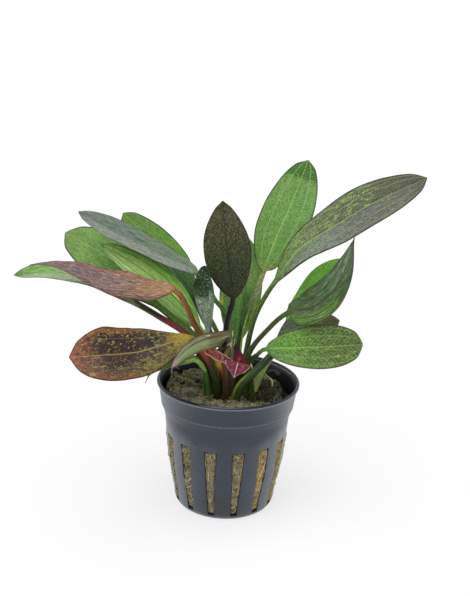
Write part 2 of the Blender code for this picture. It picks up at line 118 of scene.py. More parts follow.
# Net pot: one moulding of dark blue-grey plastic with a satin skin, turned from an outline with a
# rolled rim and a collar, and pierced by tall tapered slots in its wall and short ones in its floor.
# The outline is in millimetres, radius and height.
POT_FLOOR = 1.6
POT_FACETS = 224
POT_FOOT = ((16.6, 0.0), (17.3, 0.15), (17.9, 0.6), (18.4, 1.4), (18.7, 2.4), (19.2, 7.0))
POT_BODY = ((21.1, 16.5), (22.9, 35.3), (23.3, 36.9), (23.9, 38.4), (24.25, 39.2), (24.35, 39.6))
POT_COLLAR = ((24.3, 40.0), (25.0, 44.0), (25.15, 46.0), (25.3, 46.6), (25.8, 46.7))
POT_BEAD = ((26.0, 46.9), (26.05, 47.3), (25.95, 47.7), (25.7, 47.95), (25.4, 48.05), (25.1, 47.95),
            (24.9, 47.7))
POT_INSIDE = ((24.0, 44.0), (22.9, 39.0), (21.7, 35.3), (19.9, 16.5), (18.0, 7.0), (17.4, 2.9),
              (16.6, POT_FLOOR))
POT_OUTER = POT_FOOT + POT_BODY + POT_COLLAR
DRAIN_COUNT = 7
DRAIN_REACH = (6.5, 12.5)
DRAIN_WIDTH = 1.8
SLOT_COUNT = 14
SLOT_TURN = math.radians(12.0)
SLOT_BOTTOM = 1.9
SLOT_TOP = 28.8
SLOT_WIDTHS = (2.5, 4.7)
SLOT_REACH = (13.5, 25.0)
SLOT_EDGE = 0.16 * MM
CUT_MARGIN = 1.0
CUTTER_FACES = ((3, 2, 1, 0), (4, 5, 6, 7), (0, 1, 5, 4), (1, 2, 6, 5), (2, 3, 7, 6), (3, 0, 4, 7))


def tint(red, green, blue):
    """Colour seen in the photograph (0 to 255) as the linear colour a shader takes."""
    return tuple((v / 255) ** 2.2 for v in (red, green, blue)) + (1.0,)


def fill_input(tree, socket, value):
    """Links a socket to an input, or sets the input to a plain value."""
    if isinstance(value, bpy.types.NodeSocket):
        tree.links.new(value, socket)
    else:
        socket.default_value = value


def add_node(tree, kind, inputs=None, **settings):
    """Adds a shader node with its settings, and fills or links its inputs by name or number."""
    made = tree.nodes.new("ShaderNode" + kind)
    for key, value in settings.items():
        setattr(made, key, value)
    for key, value in (inputs or {}).items():
        fill_input(tree, made.inputs[key], value)
    return made


def calc(tree, operation, *values):
    """Number worked out from one to three numbers or sockets."""
    return add_node(tree, "Math", dict(enumerate(values)), operation=operation).outputs[0]


def times(tree, first, second):
    """Product of two numbers or sockets."""
    return calc(tree, "MULTIPLY", first, second)


def step(tree, value, low, high, to_low=0.0, to_high=1.0):
    """Smooth step of a value between two limits."""
    inputs = {"Value": value, "From Min": low, "From Max": high, "To Min": to_low, "To Max": to_high}
    return add_node(tree, "MapRange", inputs, interpolation_type="SMOOTHSTEP").outputs["Result"]


def band(tree, value, start, full, fading, end):
    """Smooth band: 1 from full to fading, and 0 before its start and past its end."""
    return times(tree, step(tree, value, start, full), step(tree, value, end, fading))


def mix(tree, share, first, second):
    """Colour between two colours, second where the share is 1."""
    return add_node(tree, "Mix", {0: share, 6: first, 7: second}, data_type="RGBA").outputs[2]


def lay(tree, colour, mask, share, tone):
    """Colour with a tone laid over it where the mask is 1, as strongly as the share says."""
    return mix(tree, times(tree, mask, share), colour, tint(*tone))


def shaded(tree, colour, brightness):
    """Colour made lighter or darker by a number."""
    return add_node(tree, "VectorMath", {0: colour, "Scale": brightness}, operation="SCALE").outputs[0]


def grain(tree, place, scale, detail=3.0):
    """Soft noise from 0 to 1 at a place."""
    return add_node(tree, "TexNoise", {"Vector": place, "Scale": scale, "Detail": detail}).outputs["Fac"]


def place_on_part(tree):
    """Place on the part in metres, then its x, y and z."""
    place = add_node(tree, "TexCoord").outputs["Object"]
    return place, *add_node(tree, "SeparateXYZ", {0: place}).outputs


def new_material(name, roughness, gloss=0.25):
    """Material with nodes: returns it with its tree and the inputs of its shader."""
    material = bpy.data.materials.new(name)
    material.use_nodes = True
    shader = material.node_tree.nodes["Principled BSDF"].inputs
    shader["Roughness"].default_value = roughness
    shader["Specular IOR Level"].default_value = gloss
    return material, material.node_tree, shader


def dress(tree, shader, colour, height, strength, distance):
    """Gives a shader its colour, and a bump from a height."""
    tree.links.new(colour, shader["Base Color"])
    bump = add_node(tree, "Bump", {"Height": height, "Strength": strength, "Distance": distance})
    tree.links.new(bump.outputs["Normal"], shader["Normal"])


def add_piece(name, mesh, material, slot, *nodes):
    """Puts a finished mesh in the scene: it rides on the one body and stands for its CAD nodes."""
    piece = bpy.data.objects.new(name, mesh)
    scene.collection.objects.link(piece)
    mesh.materials.clear()
    mesh.materials.append(material)
    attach(piece, "root")
    if nodes:
        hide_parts(*nodes)
    return piece


def ring_points(radius, height, count):
    """Ring of points about the Z axis, in metres from millimetres."""
    turns = [2 * math.pi * k / count for k in range(count)]
    return [(radius * MM * math.cos(a), radius * MM * math.sin(a), height * MM) for a in turns]


def ring_faces(rows, size, start=0, closed=False):
    """Faces through rows of ring points: open ends are capped, or the last ring joins the first."""
    faces = []
    for row in range(rows if closed else rows - 1):
        low, high = start + row * size, start + (row + 1) % rows * size
        faces += [(low + k, low + (k + 1) % size, high + (k + 1) % size, high + k) for k in range(size)]
    if not closed:
        faces.append(tuple(start + size - 1 - k for k in range(size)))
        faces.append(tuple(start + (rows - 1) * size + k for k in range(size)))
    return faces


def loft(name, rings, closed=False):
    """Smooth mesh through rings of points."""
    mesh = bpy.data.meshes.new(name)
    points = [p for ring in rings for p in ring]
    mesh.from_pydata(points, [], ring_faces(len(rings), len(rings[0]), closed=closed))
    mesh.shade_smooth()
    return mesh


def add_cutters(bm, count, offset, reach, levels):
    """Ring of radial blocks, counted from the front towards +X, with a half width at each level."""
    for block in range(count):
        turn = SLOT_TURN + 2 * math.pi * (block + offset) / count
        along = Vector((math.sin(turn), -math.cos(turn), 0.0))
        across = Vector((math.cos(turn), math.sin(turn), 0.0))
        corners = []
        for height, half in levels:
            for r, s in ((reach[0], -half), (reach[1], -half), (reach[1], half), (reach[0], half)):
                corners.append(bm.verts.new((along * r + across * s + Vector((0, 0, height))) * MM))
        for face in CUTTER_FACES:
            bm.faces.new([corners[k] for k in face])


pot_outline = ((DRAIN_REACH[0], 0.0), *POT_OUTER, *POT_BEAD, *POT_INSIDE)
pot_outline += ((DRAIN_REACH[1], POT_FLOOR), (DRAIN_REACH[0], POT_FLOOR))
pot_mesh = loft("net_pot", [ring_points(r, z, POT_FACETS) for r, z in pot_outline], closed=True)

cutter_blocks = bmesh.new()
slot_levels = ((SLOT_BOTTOM, SLOT_WIDTHS[0] / 2), (SLOT_TOP, SLOT_WIDTHS[1] / 2))
drain_levels = ((-CUT_MARGIN, DRAIN_WIDTH / 2), (POT_FLOOR + CUT_MARGIN, DRAIN_WIDTH / 2))
add_cutters(cutter_blocks, SLOT_COUNT, 0.0, SLOT_REACH, slot_levels)
add_cutters(cutter_blocks, DRAIN_COUNT, 0.5, DRAIN_REACH, drain_levels)
bmesh.ops.recalc_face_normals(cutter_blocks, faces=cutter_blocks.faces)
cutter_mesh = bpy.data.meshes.new("slot_cutter")
cutter_blocks.to_mesh(cutter_mesh)
cutter_blocks.free()
cutter = bpy.data.objects.new("slot_cutter", cutter_mesh)
scene.collection.objects.link(cutter)

# The plastic has a painted pale sheen at grazing angles. Painted shade darkens it under the collar,
# low down, inside and on top of the rim's bead, and a painted highlight makes it paler at the very
# foot. Thin painted highlights run round the collar's foot and the rim's bead. Heights are in metres.
pot_plastic, tree, shader = new_material("pot_plastic", 0.42, 0.5)
place, _, _, height = place_on_part(tree)
cloud = grain(tree, place, 60.0)
dust = step(tree, grain(tree, place, 900.0, 2.0), 0.70, 0.76)
specks = step(tree, grain(tree, place, 420.0, 1.0), 0.27, 0.22)
# Band under the collar, where shade is painted and the painted sheen is weaker.
ledge = band(tree, height, 0.029, 0.037, 0.0392, 0.0396)
# Painted sheen: how far the colour pales where the surface is seen at a grazing angle, less under the
# collar.
grazing_sheen = add_node(tree, "LayerWeight", {"Blend": 0.5}).outputs["Facing"]
grazing_sheen = calc(tree, "SUBTRACT", grazing_sheen, times(tree, ledge, 0.3))
plastic = mix(tree, cloud, tint(38, 46, 59), tint(50, 57, 70))
for mask, share, tone in (
    # Painted shade: darker low down.
    (step(tree, height, 0.014, 0.002), 1.0, (38, 43, 53)),
    # Painted highlight: paler at the very foot.
    (step(tree, height, 0.0008, 0.0002), 1.0, (150, 154, 160)),
    # Painted sheen at grazing angles.
    (step(tree, grazing_sheen, 0.16, 0.8, 0.0, 0.42), 1.0, (150, 155, 162)),
    (dust, 0.25, (120, 126, 136)),
    (specks, 0.7, (34, 38, 46)),
    # Painted highlight: a thin light edge round the collar's foot.
    (band(tree, height, 0.0393, 0.0396, 0.0399, 0.0402), 0.3, (112, 120, 132)),
    # Painted shade under the collar.
    (ledge, 0.3, (22, 27, 36)),
    # Painted shade on top of the rim's bead.
    (step(tree, height, 0.0473, 0.0477), 0.7, (20, 24, 32)),
    # Painted highlight: a thin light edge round the rim's bead.
    (band(tree, height, 0.0467, 0.0470, 0.0472, 0.0475), 0.5, (150, 156, 166)),
):
    plastic = lay(tree, plastic, mask, share, tone)
plastic = shaded(tree, plastic, step(tree, grain(tree, place, 1300.0, 1.0), 0.35, 0.65, 0.88, 1.12))
# Painted shade on the pot's inner wall, in its upper part.
skin = add_node(tree, "NewGeometry").outputs["Normal"]
inward = add_node(tree, "VectorMath", {0: skin, 1: place}, operation="DOT_PRODUCT").outputs["Value"]
inward = step(tree, inward, -0.003, -0.010)
plastic = lay(tree, plastic, inward, step(tree, height, 0.034, 0.038), (24, 28, 38))
satin = step(tree, cloud, 0.3, 0.7, 0.34, 0.46)
bead = step(tree, height, 0.0462, 0.0470, 0.0, 0.3)
tree.links.new(calc(tree, "SUBTRACT", satin, bead), shader["Roughness"])
dress(tree, shader, plastic, grain(tree, place, 1500.0, 2.0), 0.25, 0.0001)

net_pot = add_piece("net_pot_moulding", pot_mesh, pot_plastic, "pot_plastic", "net_pot")
slots_cut = net_pot.modifiers.new("slots", "BOOLEAN")
slots_cut.object = cutter
slots_cut.solver = "EXACT"
slot_edges = net_pot.modifiers.new("soft_edges", "BEVEL")
slot_edges.width = SLOT_EDGE
slot_edges.segments = 2
slot_edges.limit_method = "ANGLE"
slot_edges.angle_limit = math.radians(50)
bpy.context.view_layer.update()
finished_pot = bpy.data.meshes.new_from_object(net_pot.evaluated_get(bpy.context.evaluated_depsgraph_get()))
net_pot.modifiers.clear()
net_pot.data = finished_pot
bpy.data.objects.remove(cutter)
finished_pot.set_sharp_from_angle(angle=math.radians(35))


# Rock wool: a plug of khaki mineral fibre that fills the pot, wet and mossy on top, with lumps and a
# hollow front right. It closes round the stalks, and swells into the pot's slots. Painted shade darkens
# its cracks, its edge and its hollows, the one front right most. Lumps and hollows are in millimetres,
# and the balls of painted shade about the deepest hollows in metres.
POT_INNER = tuple(reversed(POT_INSIDE))
WOOL_FACETS = 336
WOOL_BOTTOM = 2.0
WOOL_TOP = 43.2
WOOL_EDGE_RADIUS = 22.7
WOOL_CLEARANCE = 0.35
WOOL_SHOULDERS = (33.0, 37.0, 40.5)
RIGHT_GAP = 2.2
CLIMB_START = 13.0
CLIMB_WIDTH = 9.0
CLIMB_SIDES = (2.4, 0.6)
CLIMB_ENDS = (3.2, -0.8)
WOOL_SIDE_ROWS = 66
WOOL_TOP_ROWS = 64
WOOL_EDGE_SHARE = 0.05
WOOL_EDGE_DROP = 1.5
SLOT_SWELL = 1.55
SLOT_ROUGH_MOST = 0.15
LUMPS = ((-21.0, 8.5, 2.8, 1.3), (-13.8, 3.7, 2.2, 1.4), (-15.5, -5.2, 3.4, 0.8), (14.6, -1.2, 2.8, 1.8),
         (18.5, 6.0, 3.4, 1.1), (13.5, 9.5, 3.0, 1.3), (11.7, -14.6, 3.0, 1.0), (-4.4, -15.5, 3.4, 0.6),
         (-13.0, 15.0, 3.0, 1.2), (-19.5, -2.0, 2.4, 0.7))
HOLLOWS = ((12.0, -6.5, 5.2, 3.4), (-17.5, 4.0, 1.9, 2.0), (-11.4, 7.7, 2.2, 2.0), (-12.8, -8.5, 2.0, 1.5),
           (14.4, 3.7, 1.8, 1.7), (5.0, 15.0, 4.0, 1.6), (18.5, -7.5, 2.4, 1.2), (-8.0, -14.0, 1.6, 0.9),
           (-9.0, 1.0, 2.6, 1.2), (-19.5, 12.0, 2.0, 1.0), (9.5, 3.0, 3.0, 1.6), (17.0, 1.5, 1.6, 1.0))
CREVICE_DEPTH = 1.1
CREVICE_WIDTH = 0.09
SHADE_BALLS = (((0.0135, 0.001, 0.044), 0.0045, 0.0095), ((0.021, 0.020, 0.045), 0.004, 0.008))


def new_group(name, inputs, outputs):
    """Empty node group with named number inputs and number outputs."""
    tree = bpy.data.node_groups.new(name, "ShaderNodeTree")
    for label, value in inputs:
        socket = tree.interface.new_socket(label, in_out="INPUT", socket_type="NodeSocketFloat")
        socket.default_value = value
    for label in outputs:
        tree.interface.new_socket(label, in_out="OUTPUT", socket_type="NodeSocketFloat")
    return tree, tree.nodes.new("NodeGroupInput").outputs, tree.nodes.new("NodeGroupOutput").inputs


def use_group(tree, group, **inputs):
    """Places a node group in a material and fills its inputs."""
    made = tree.nodes.new("ShaderNodeGroup")
    made.node_tree = group
    for key, value in inputs.items():
        fill_input(tree, made.inputs[key], value)
    return made.outputs


def near(tree, place, ball, inside, outside=0.0):
    """Soft ball: one number inside its inner radius and another past its outer one."""
    middle, inner, outer = ball
    away = add_node(tree, "VectorMath", {0: place, 1: middle}, operation="DISTANCE").outputs["Value"]
    return step(tree, away, inner, outer, inside, outside)


def keep_values(mesh, label, kind, key, values):
    """Keeps a value at each point of a mesh for its material."""
    mesh.attributes.new(label, kind, "POINT").data.foreach_set(key, values)


def rough(x, y, scale, seed=0.0):
    """Noise about 0 at a place in the pot, finer for a larger scale."""
    return noise.noise(Vector((x, y, seed)) * scale)


def hump(x, y, middle_x, middle_y, width):
    """Round hump: 1 at its middle, falling to 0 past its width."""
    return math.exp(-((x - middle_x) ** 2 + (y - middle_y) ** 2) / width ** 2)


def pot_radius(outline, height):
    """Radius of a pot outline at a height, in millimetres."""
    for (r0, z0), (r1, z1) in zip(outline, outline[1:]):
        if z0 <= height <= z1:
            return r0 + (r1 - r0) * (height - z0) / (z1 - z0)
    return outline[-1][0]


def wool_crevice(x, y):
    """1 in the middle of the narrow crooked cracks between the wool's tufts, falling to 0 beside them."""
    crack = abs(rough(x, y, 0.32, 20.0) + rough(x, y, 0.9, 11.0) * 0.175)
    return max(0.0, 1.0 - crack / CREVICE_WIDTH)


def wool_height(x, y):
    """Height of the rock wool's top at a place in the pot, in millimetres."""
    r = max(math.hypot(x, y), 0.01)
    climb = CLIMB_SIDES[x > 0] * (x / r) ** 2 + CLIMB_ENDS[y > 0] * (y / r) ** 2
    height = WOOL_TOP + climb * min(max((r - CLIMB_START) / CLIMB_WIDTH, 0.0), 1.0)
    for *lump, rise in LUMPS:
        height += rise * hump(x, y, *lump)
    for *hollow, fall in HOLLOWS:
        height -= fall * hump(x, y, *hollow)
    height -= CREVICE_DEPTH * wool_crevice(x, y)
    uneven = rough(x, y, 0.45) * 0.8 + rough(x, y, 1.3, 7.0) * 0.6
    return height + uneven + rough(x, y, 3.2, 3.0) * 0.3


def slot_share(turn, height):
    """1 in the middle of a pot slot, falling to 0 at its sides and ends."""
    if not SLOT_BOTTOM < height < SLOT_TOP:
        return 0.0
    pitch = 2 * math.pi / SLOT_COUNT
    away = abs((turn - SLOT_TURN + pitch / 2) % pitch - pitch / 2)
    rise = (height - SLOT_BOTTOM) / (SLOT_TOP - SLOT_BOTTOM)
    half = (SLOT_WIDTHS[0] + (SLOT_WIDTHS[1] - SLOT_WIDTHS[0]) * rise) / 2 - 0.05
    across = 1.0 - (away * pot_radius(POT_OUTER, height) / half) ** 6
    ends = min((height - SLOT_BOTTOM) / 1.6, (SLOT_TOP - height) / 1.2, 1.0)
    return math.sqrt(max(across, 0.0)) * math.sqrt(max(ends, 0.0))


wool_rings = []
for row in range(WOOL_SIDE_ROWS + 1):
    z = WOOL_BOTTOM + (SLOT_TOP + 1.0 - WOOL_BOTTOM) * row / WOOL_SIDE_ROWS
    ring = []
    for k in range(WOOL_FACETS):
        turn = 2 * math.pi * k / WOOL_FACETS
        direction = Vector((math.sin(turn), -math.cos(turn), 0.0))
        r = pot_radius(POT_INNER, z) - WOOL_CLEARANCE
        swell = slot_share(turn, z)
        if swell > 0.0:
            bulge = noise.noise(direction * r * 0.5 + Vector((0, 0, z * 0.35))) * 0.7
            bulge += noise.noise(direction * r * 1.5 + Vector((0, 0, z * 0.9))) * 0.35
            r += (SLOT_SWELL + min(bulge, SLOT_ROUGH_MOST)) * swell
        ring.append((direction * r + Vector((0, 0, z))) * MM)
    wool_rings.append(ring)
for z in WOOL_SHOULDERS:
    ring = ring_points(pot_radius(POT_INNER, z) - WOOL_CLEARANCE, z, WOOL_FACETS)
    wool_rings.append([(p[1], -p[0], p[2]) for p in ring])
wool_shade = [0.0] * (len(wool_rings) * WOOL_FACETS)
for row in range(WOOL_TOP_ROWS):
    share = (1 - row / WOOL_TOP_ROWS) ** 0.9
    ring = []
    for k in range(WOOL_FACETS):
        turn = 2 * math.pi * k / WOOL_FACETS
        r = (WOOL_EDGE_RADIUS - RIGHT_GAP * max(0.0, math.sin(turn)) ** 2) * share
        x, y = r * math.sin(turn), -r * math.cos(turn)
        edge = max(0.0, (share - (1 - WOOL_EDGE_SHARE)) / WOOL_EDGE_SHARE) ** 2
        ring.append((x * MM, y * MM, (wool_height(x, y) - WOOL_EDGE_DROP * edge) * MM))
        # Painted shade on the wool's top: in the cracks, round its edge against the wall and in the hollows,
        # with darker random patches as well.
        shade = wool_crevice(x, y) + 0.8 * edge + max(0.0, rough(x, y, 0.55, 31.0) - 0.05)
        for *hollow, fall in HOLLOWS:
            shade += 0.7 * fall * hump(x, y, *hollow)
        wool_shade.append(min(shade, 1.0))
    wool_rings.append(ring)
wool_mesh = loft("rock_wool", wool_rings)
keep_values(wool_mesh, "wool_shade", "FLOAT", "value", wool_shade)

# Felted fibre: cloudy patches, crossing threads and small pits, for the wool and the crown, whose
# materials darken the pits with painted shade.
tree, given, given_out = new_group("fibre_mottle", (("Scale", 300.0),), ("Patches", "Threads", "Pits"))
fibre_mottle = tree
place = place_on_part(tree)[0]
warp = add_node(tree, "TexNoise", {"Vector": place, "Scale": 500.0, "Detail": 2.0}).outputs["Color"]
bent = add_node(tree, "VectorMath", {0: warp, 1: (0.003, 0.003, 0.003), 2: place}, operation="MULTIPLY_ADD")
cells = {"Vector": bent.outputs[0], "Scale": 900.0}
threads = add_node(tree, "TexVoronoi", cells, feature="DISTANCE_TO_EDGE")
patches = grain(tree, place, given["Scale"], 4.0)
tree.links.new(step(tree, patches, 0.35, 0.65), given_out["Patches"])
tree.links.new(step(tree, threads.outputs["Distance"], 0.16, 0.02), given_out["Threads"])
tree.links.new(step(tree, grain(tree, place, 620.0, 2.0), 0.46, 0.30), given_out["Pits"])

rock_wool_fibre, tree, shader = new_material("rock_wool_fibre", 0.95)
mottle = use_group(tree, fibre_mottle, Scale=480.0)
place, side, _, height = place_on_part(tree)
khaki = mix(tree, mottle["Patches"], tint(102, 91, 70), tint(146, 134, 108))
golden = step(tree, grain(tree, place, 380.0, 3.0), 0.35, 0.6, 0.3, 1.0)
khaki = lay(tree, khaki, step(tree, side, 0.004, 0.008, 0.05, 0.85), golden, (186, 164, 104))
olive = mix(tree, mottle["Patches"], tint(52, 51, 42), tint(186, 182, 150))
olive = lay(tree, olive, step(tree, grain(tree, place, 150.0, 3.0), 0.54, 0.66), 1.0, (112, 116, 62))
olive = lay(tree, olive, step(tree, grain(tree, place, 210.0, 2.0), 0.56, 0.66), 0.7, (84, 66, 46))
wool_colour = mix(tree, step(tree, height, 0.034, 0.041), khaki, olive)
wool_colour = lay(tree, wool_colour, mottle["Threads"], 0.45, (186, 176, 138))
# Painted shade in the pits: stronger on the right side and at the top.
pitted = step(tree, side, 0.002, 0.007, 0.35, 0.8)
pitted = calc(tree, "MAXIMUM", pitted, step(tree, height, 0.030, 0.041, 0.0, 0.9))
wool_colour = lay(tree, wool_colour, mottle["Pits"], pitted, (40, 35, 24))
# Painted shade: near black in the cracks and hollows, and in balls about the deepest hollows.
painted_shade = add_node(tree, "Attribute", attribute_name="wool_shade").outputs["Fac"]
for ball in SHADE_BALLS:
    painted_shade = calc(tree, "MAXIMUM", painted_shade, near(tree, place, ball, 0.85))
wool_colour = lay(tree, wool_colour, painted_shade, 0.95, (20, 20, 20))
relief = calc(tree, "ADD", mottle["Threads"], times(tree, mottle["Pits"], -1.5))
dress(tree, shader, wool_colour, relief, 0.9, 0.0004)
add_piece("rock_wool_plug", wool_mesh, rock_wool_fibre, "rock_wool", "rock_wool")


# Crown: the short rough stem, of fibrous plant tissue, that all the stalks stand on. It sits in a
# pocket of the rock wool, which closes over it.
crown_bark, tree, shader = new_material("crown_bark", 0.8)
mottle = use_group(tree, fibre_mottle, Scale=500.0)
bark = mix(tree, mottle["Patches"], tint(78, 70, 38), tint(112, 108, 60))
# Painted shade: the pits are darkened.
dress(tree, shader, lay(tree, bark, mottle["Pits"], 1.0, (40, 34, 20)), mottle["Patches"], 0.5, 0.0004)
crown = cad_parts["crown"]
crown.data.materials.clear()
crown.data.materials.append(crown_bark)


# Pale root: a thin smooth root that leaves the crown, arches over the wool on the right and dips
# back into it.
ROOT_ROUTE = ((10.9, 9.2, 44.6), (12.6, 9, 47.2), (15.2, 7.5, 45.8), (16.2, 5, 45.6), (16.4, 3.5, 44.1))
ROOT_RADIUS = 0.3
ROOT_STEPS = 14
ROOT_SIDES = 14


def smooth_route(points, steps):
    """Close points along the curve that passes smoothly through a route's own points."""
    points = [Vector(p) for p in points]
    ends = [points[0] * 2 - points[1]] + points + [points[-1] * 2 - points[-2]]
    curve = []
    for a, b, c, d in zip(ends, ends[1:], ends[2:], ends[3:]):
        for k in range(steps):
            t = k / steps
            pull = b * 2 + (c - a) * t + (a * 2 - b * 5 + c * 4 - d) * t ** 2
            curve.append((pull + (b * 3 - a - c * 3 + d) * t ** 3) / 2)
    return curve + [points[-1]]


def tube_rings(curve, radii, sides):
    """Rings of points round a curve, in metres."""
    rings = []
    side = None
    for before, point, after, radius in zip([curve[0]] + curve, curve, curve[1:] + [curve[-1]], radii):
        ahead = (after - before).normalized()
        if side is None:
            side = ahead.orthogonal()
        side = (side - ahead * side.dot(ahead)).normalized()
        up = ahead.cross(side)
        turns = [2 * math.pi * k / sides for k in range(sides)]
        rings.append([(point + (side * math.cos(a) + up * math.sin(a)) * radius) * MM for a in turns])
    return rings


root_curve = smooth_route(ROOT_ROUTE, ROOT_STEPS)
root_radii = [ROOT_RADIUS * (1 + 0.25 * noise.noise(p * 0.9)) for p in root_curve]
root_mesh = loft("root_pale", tube_rings(root_curve, root_radii, ROOT_SIDES))
root_skin, tree, shader = new_material("root_skin", 0.55)
place = place_on_part(tree)[0]
root_colour = mix(tree, grain(tree, place, 700.0), tint(168, 162, 110), tint(226, 218, 168))
dress(tree, shader, root_colour, grain(tree, place, 1500.0), 0.3, 0.0001)
add_piece("pale_root", root_mesh, root_skin, "root", "root_pale")


# Loose fibres: strands of the rock wool, as fine as hair, that lie in arches over its top and show
# in the pot's slots. They are held by the wool that they were teased out of.
TOP_FIBRES = 1900
TOP_REACH = 21.8
SLOT_FIBRES = 110
FEWER_IN_FRONT = 3
FIBRE_RADII = (0.035, 0.085)
FIBRE_TAPER = 0.7
TOP_CURL = 1.6
TOP_LENGTHS = (1.8, 7.0)
TOP_ARCHES = (0.05, 0.6)
TOP_MARGIN = 0.7
SLOT_SPREAD = 0.09
SLOT_LEAN = 1.3
SLOT_LENGTHS = (1.5, 6.0)
SLOT_LIFTS = (0.02, 0.35)
SLOT_ENDS = 0.8
SLOT_SUNK = 0.28
SLOT_THICKER = 1.5
SLOT_LEAST_SHARE = 0.25
STRAND_TONES = ((0.0, 90, 82, 58), (0.45, 150, 144, 110), (0.8, 196, 190, 156), (1.0, 226, 220, 192))
FIBRE_STEPS = 6
FIBRE_SIDES = 3
fibre_chance = random.Random(5)
strand_points, strand_faces, strand_tones = [], [], []


def ramp(tree, share, stops):
    """Colour read off a row of stops, each a place and its tone."""
    made = add_node(tree, "ValToRGB", {"Fac": share})
    points = made.color_ramp.elements
    while len(points) < len(stops):
        points.new(0.5)
    for point, (place, *tone) in zip(points, stops):
        point.position = place
        point.color = tint(*tone)
    return made.outputs["Color"]


def add_strand(curve, radius, tone):
    """Adds one thin strand, tapered at both ends, to the fibres."""
    radii = [radius * (1 - FIBRE_TAPER * abs(2 * k / (len(curve) - 1) - 1) ** 3) for k in range(len(curve))]
    strand_faces.extend(ring_faces(len(curve), FIBRE_SIDES, len(strand_points)))
    for ring in tube_rings(curve, radii, FIBRE_SIDES):
        strand_points.extend(ring)
    strand_tones.extend([tone] * (FIBRE_SIDES * len(curve)))


for _ in range(TOP_FIBRES):
    far = TOP_REACH * math.sqrt(fibre_chance.random())
    turn = fibre_chance.uniform(0, 2 * math.pi)
    x, y = far * math.cos(turn), far * math.sin(turn)
    heading = fibre_chance.uniform(0, 2 * math.pi)
    curl = fibre_chance.uniform(-TOP_CURL, TOP_CURL)
    stride = fibre_chance.uniform(*TOP_LENGTHS) / FIBRE_STEPS
    arch = fibre_chance.uniform(*TOP_ARCHES) ** 1.3
    radius = fibre_chance.uniform(*FIBRE_RADII)
    curve = []
    for k in range(FIBRE_STEPS + 1):
        share = k / FIBRE_STEPS
        gap = RIGHT_GAP * max(0.0, x / max(math.hypot(x, y), 1.0)) ** 2
        if math.hypot(x, y) > WOOL_EDGE_RADIUS - gap - TOP_MARGIN:
            break
        curve.append(Vector((x, y, wool_height(x, y) + 0.02 + arch * math.sin(math.pi * share))))
        x += stride * math.cos(heading + curl * share)
        y += stride * math.sin(heading + curl * share)
    if len(curve) > 2:
        add_strand(curve, radius, fibre_chance.random())
for slot in range(SLOT_COUNT):
    middle = SLOT_TURN + 2 * math.pi * slot / SLOT_COUNT
    in_front = abs(math.sin(middle + 0.1)) <= 0.3 and math.cos(middle) >= 0
    for _ in range(SLOT_FIBRES // FEWER_IN_FRONT if in_front else SLOT_FIBRES):
        height = fibre_chance.uniform(SLOT_BOTTOM + SLOT_ENDS, SLOT_TOP - SLOT_ENDS)
        turn = middle + fibre_chance.uniform(-SLOT_SPREAD, SLOT_SPREAD)
        lean = fibre_chance.uniform(-SLOT_LEAN, SLOT_LEAN)
        stride = fibre_chance.uniform(*SLOT_LENGTHS) / FIBRE_STEPS
        lift = fibre_chance.uniform(*SLOT_LIFTS)
        radius = SLOT_THICKER * fibre_chance.uniform(*FIBRE_RADII)
        curve = []
        for k in range(FIBRE_STEPS + 1):
            if slot_share(turn, height) < SLOT_LEAST_SHARE:
                break
            r = pot_radius(POT_INNER, height) - SLOT_SUNK + SLOT_SWELL * slot_share(turn, height)
            r += lift * math.sin(math.pi * k / FIBRE_STEPS)
            curve.append(Vector((r * math.sin(turn), -r * math.cos(turn), height)))
            height += stride * math.cos(lean)
            turn += stride * math.sin(lean) / r
        if len(curve) > 2:
            add_strand(curve, radius, fibre_chance.random())

fibre_mesh = bpy.data.meshes.new("wool_fibres")
fibre_mesh.from_pydata(strand_points, [], strand_faces)
keep_values(fibre_mesh, "strand_tone", "FLOAT", "value", strand_tones)
wool_strand, tree, shader = new_material("wool_strand", 0.7)
tone = add_node(tree, "Attribute", attribute_name="strand_tone").outputs["Fac"]
place, side, _, height = place_on_part(tree)
strand_tint = ramp(tree, tone, STRAND_TONES)
straw = step(tree, side, 0.004, 0.008, 0.0, 0.6)
strand_tint = lay(tree, strand_tint, straw, step(tree, height, 0.032, 0.03), (216, 186, 116))
shade = step(tree, grain(tree, place, 400.0, 2.0), 0.3, 0.7, 0.75, 1.15)
# Painted shade: strands are darkened in the balls about the deepest hollows.
for ball in SHADE_BALLS:
    shade = times(tree, shade, near(tree, place, ball, 0.32, 1.0))
dress(tree, shader, shaded(tree, strand_tint, shade), grain(tree, place, 3000.0, 1.0), 0.2, 0.00003)
add_piece("wool_fibres", fibre_mesh, wool_strand, "rock_wool")


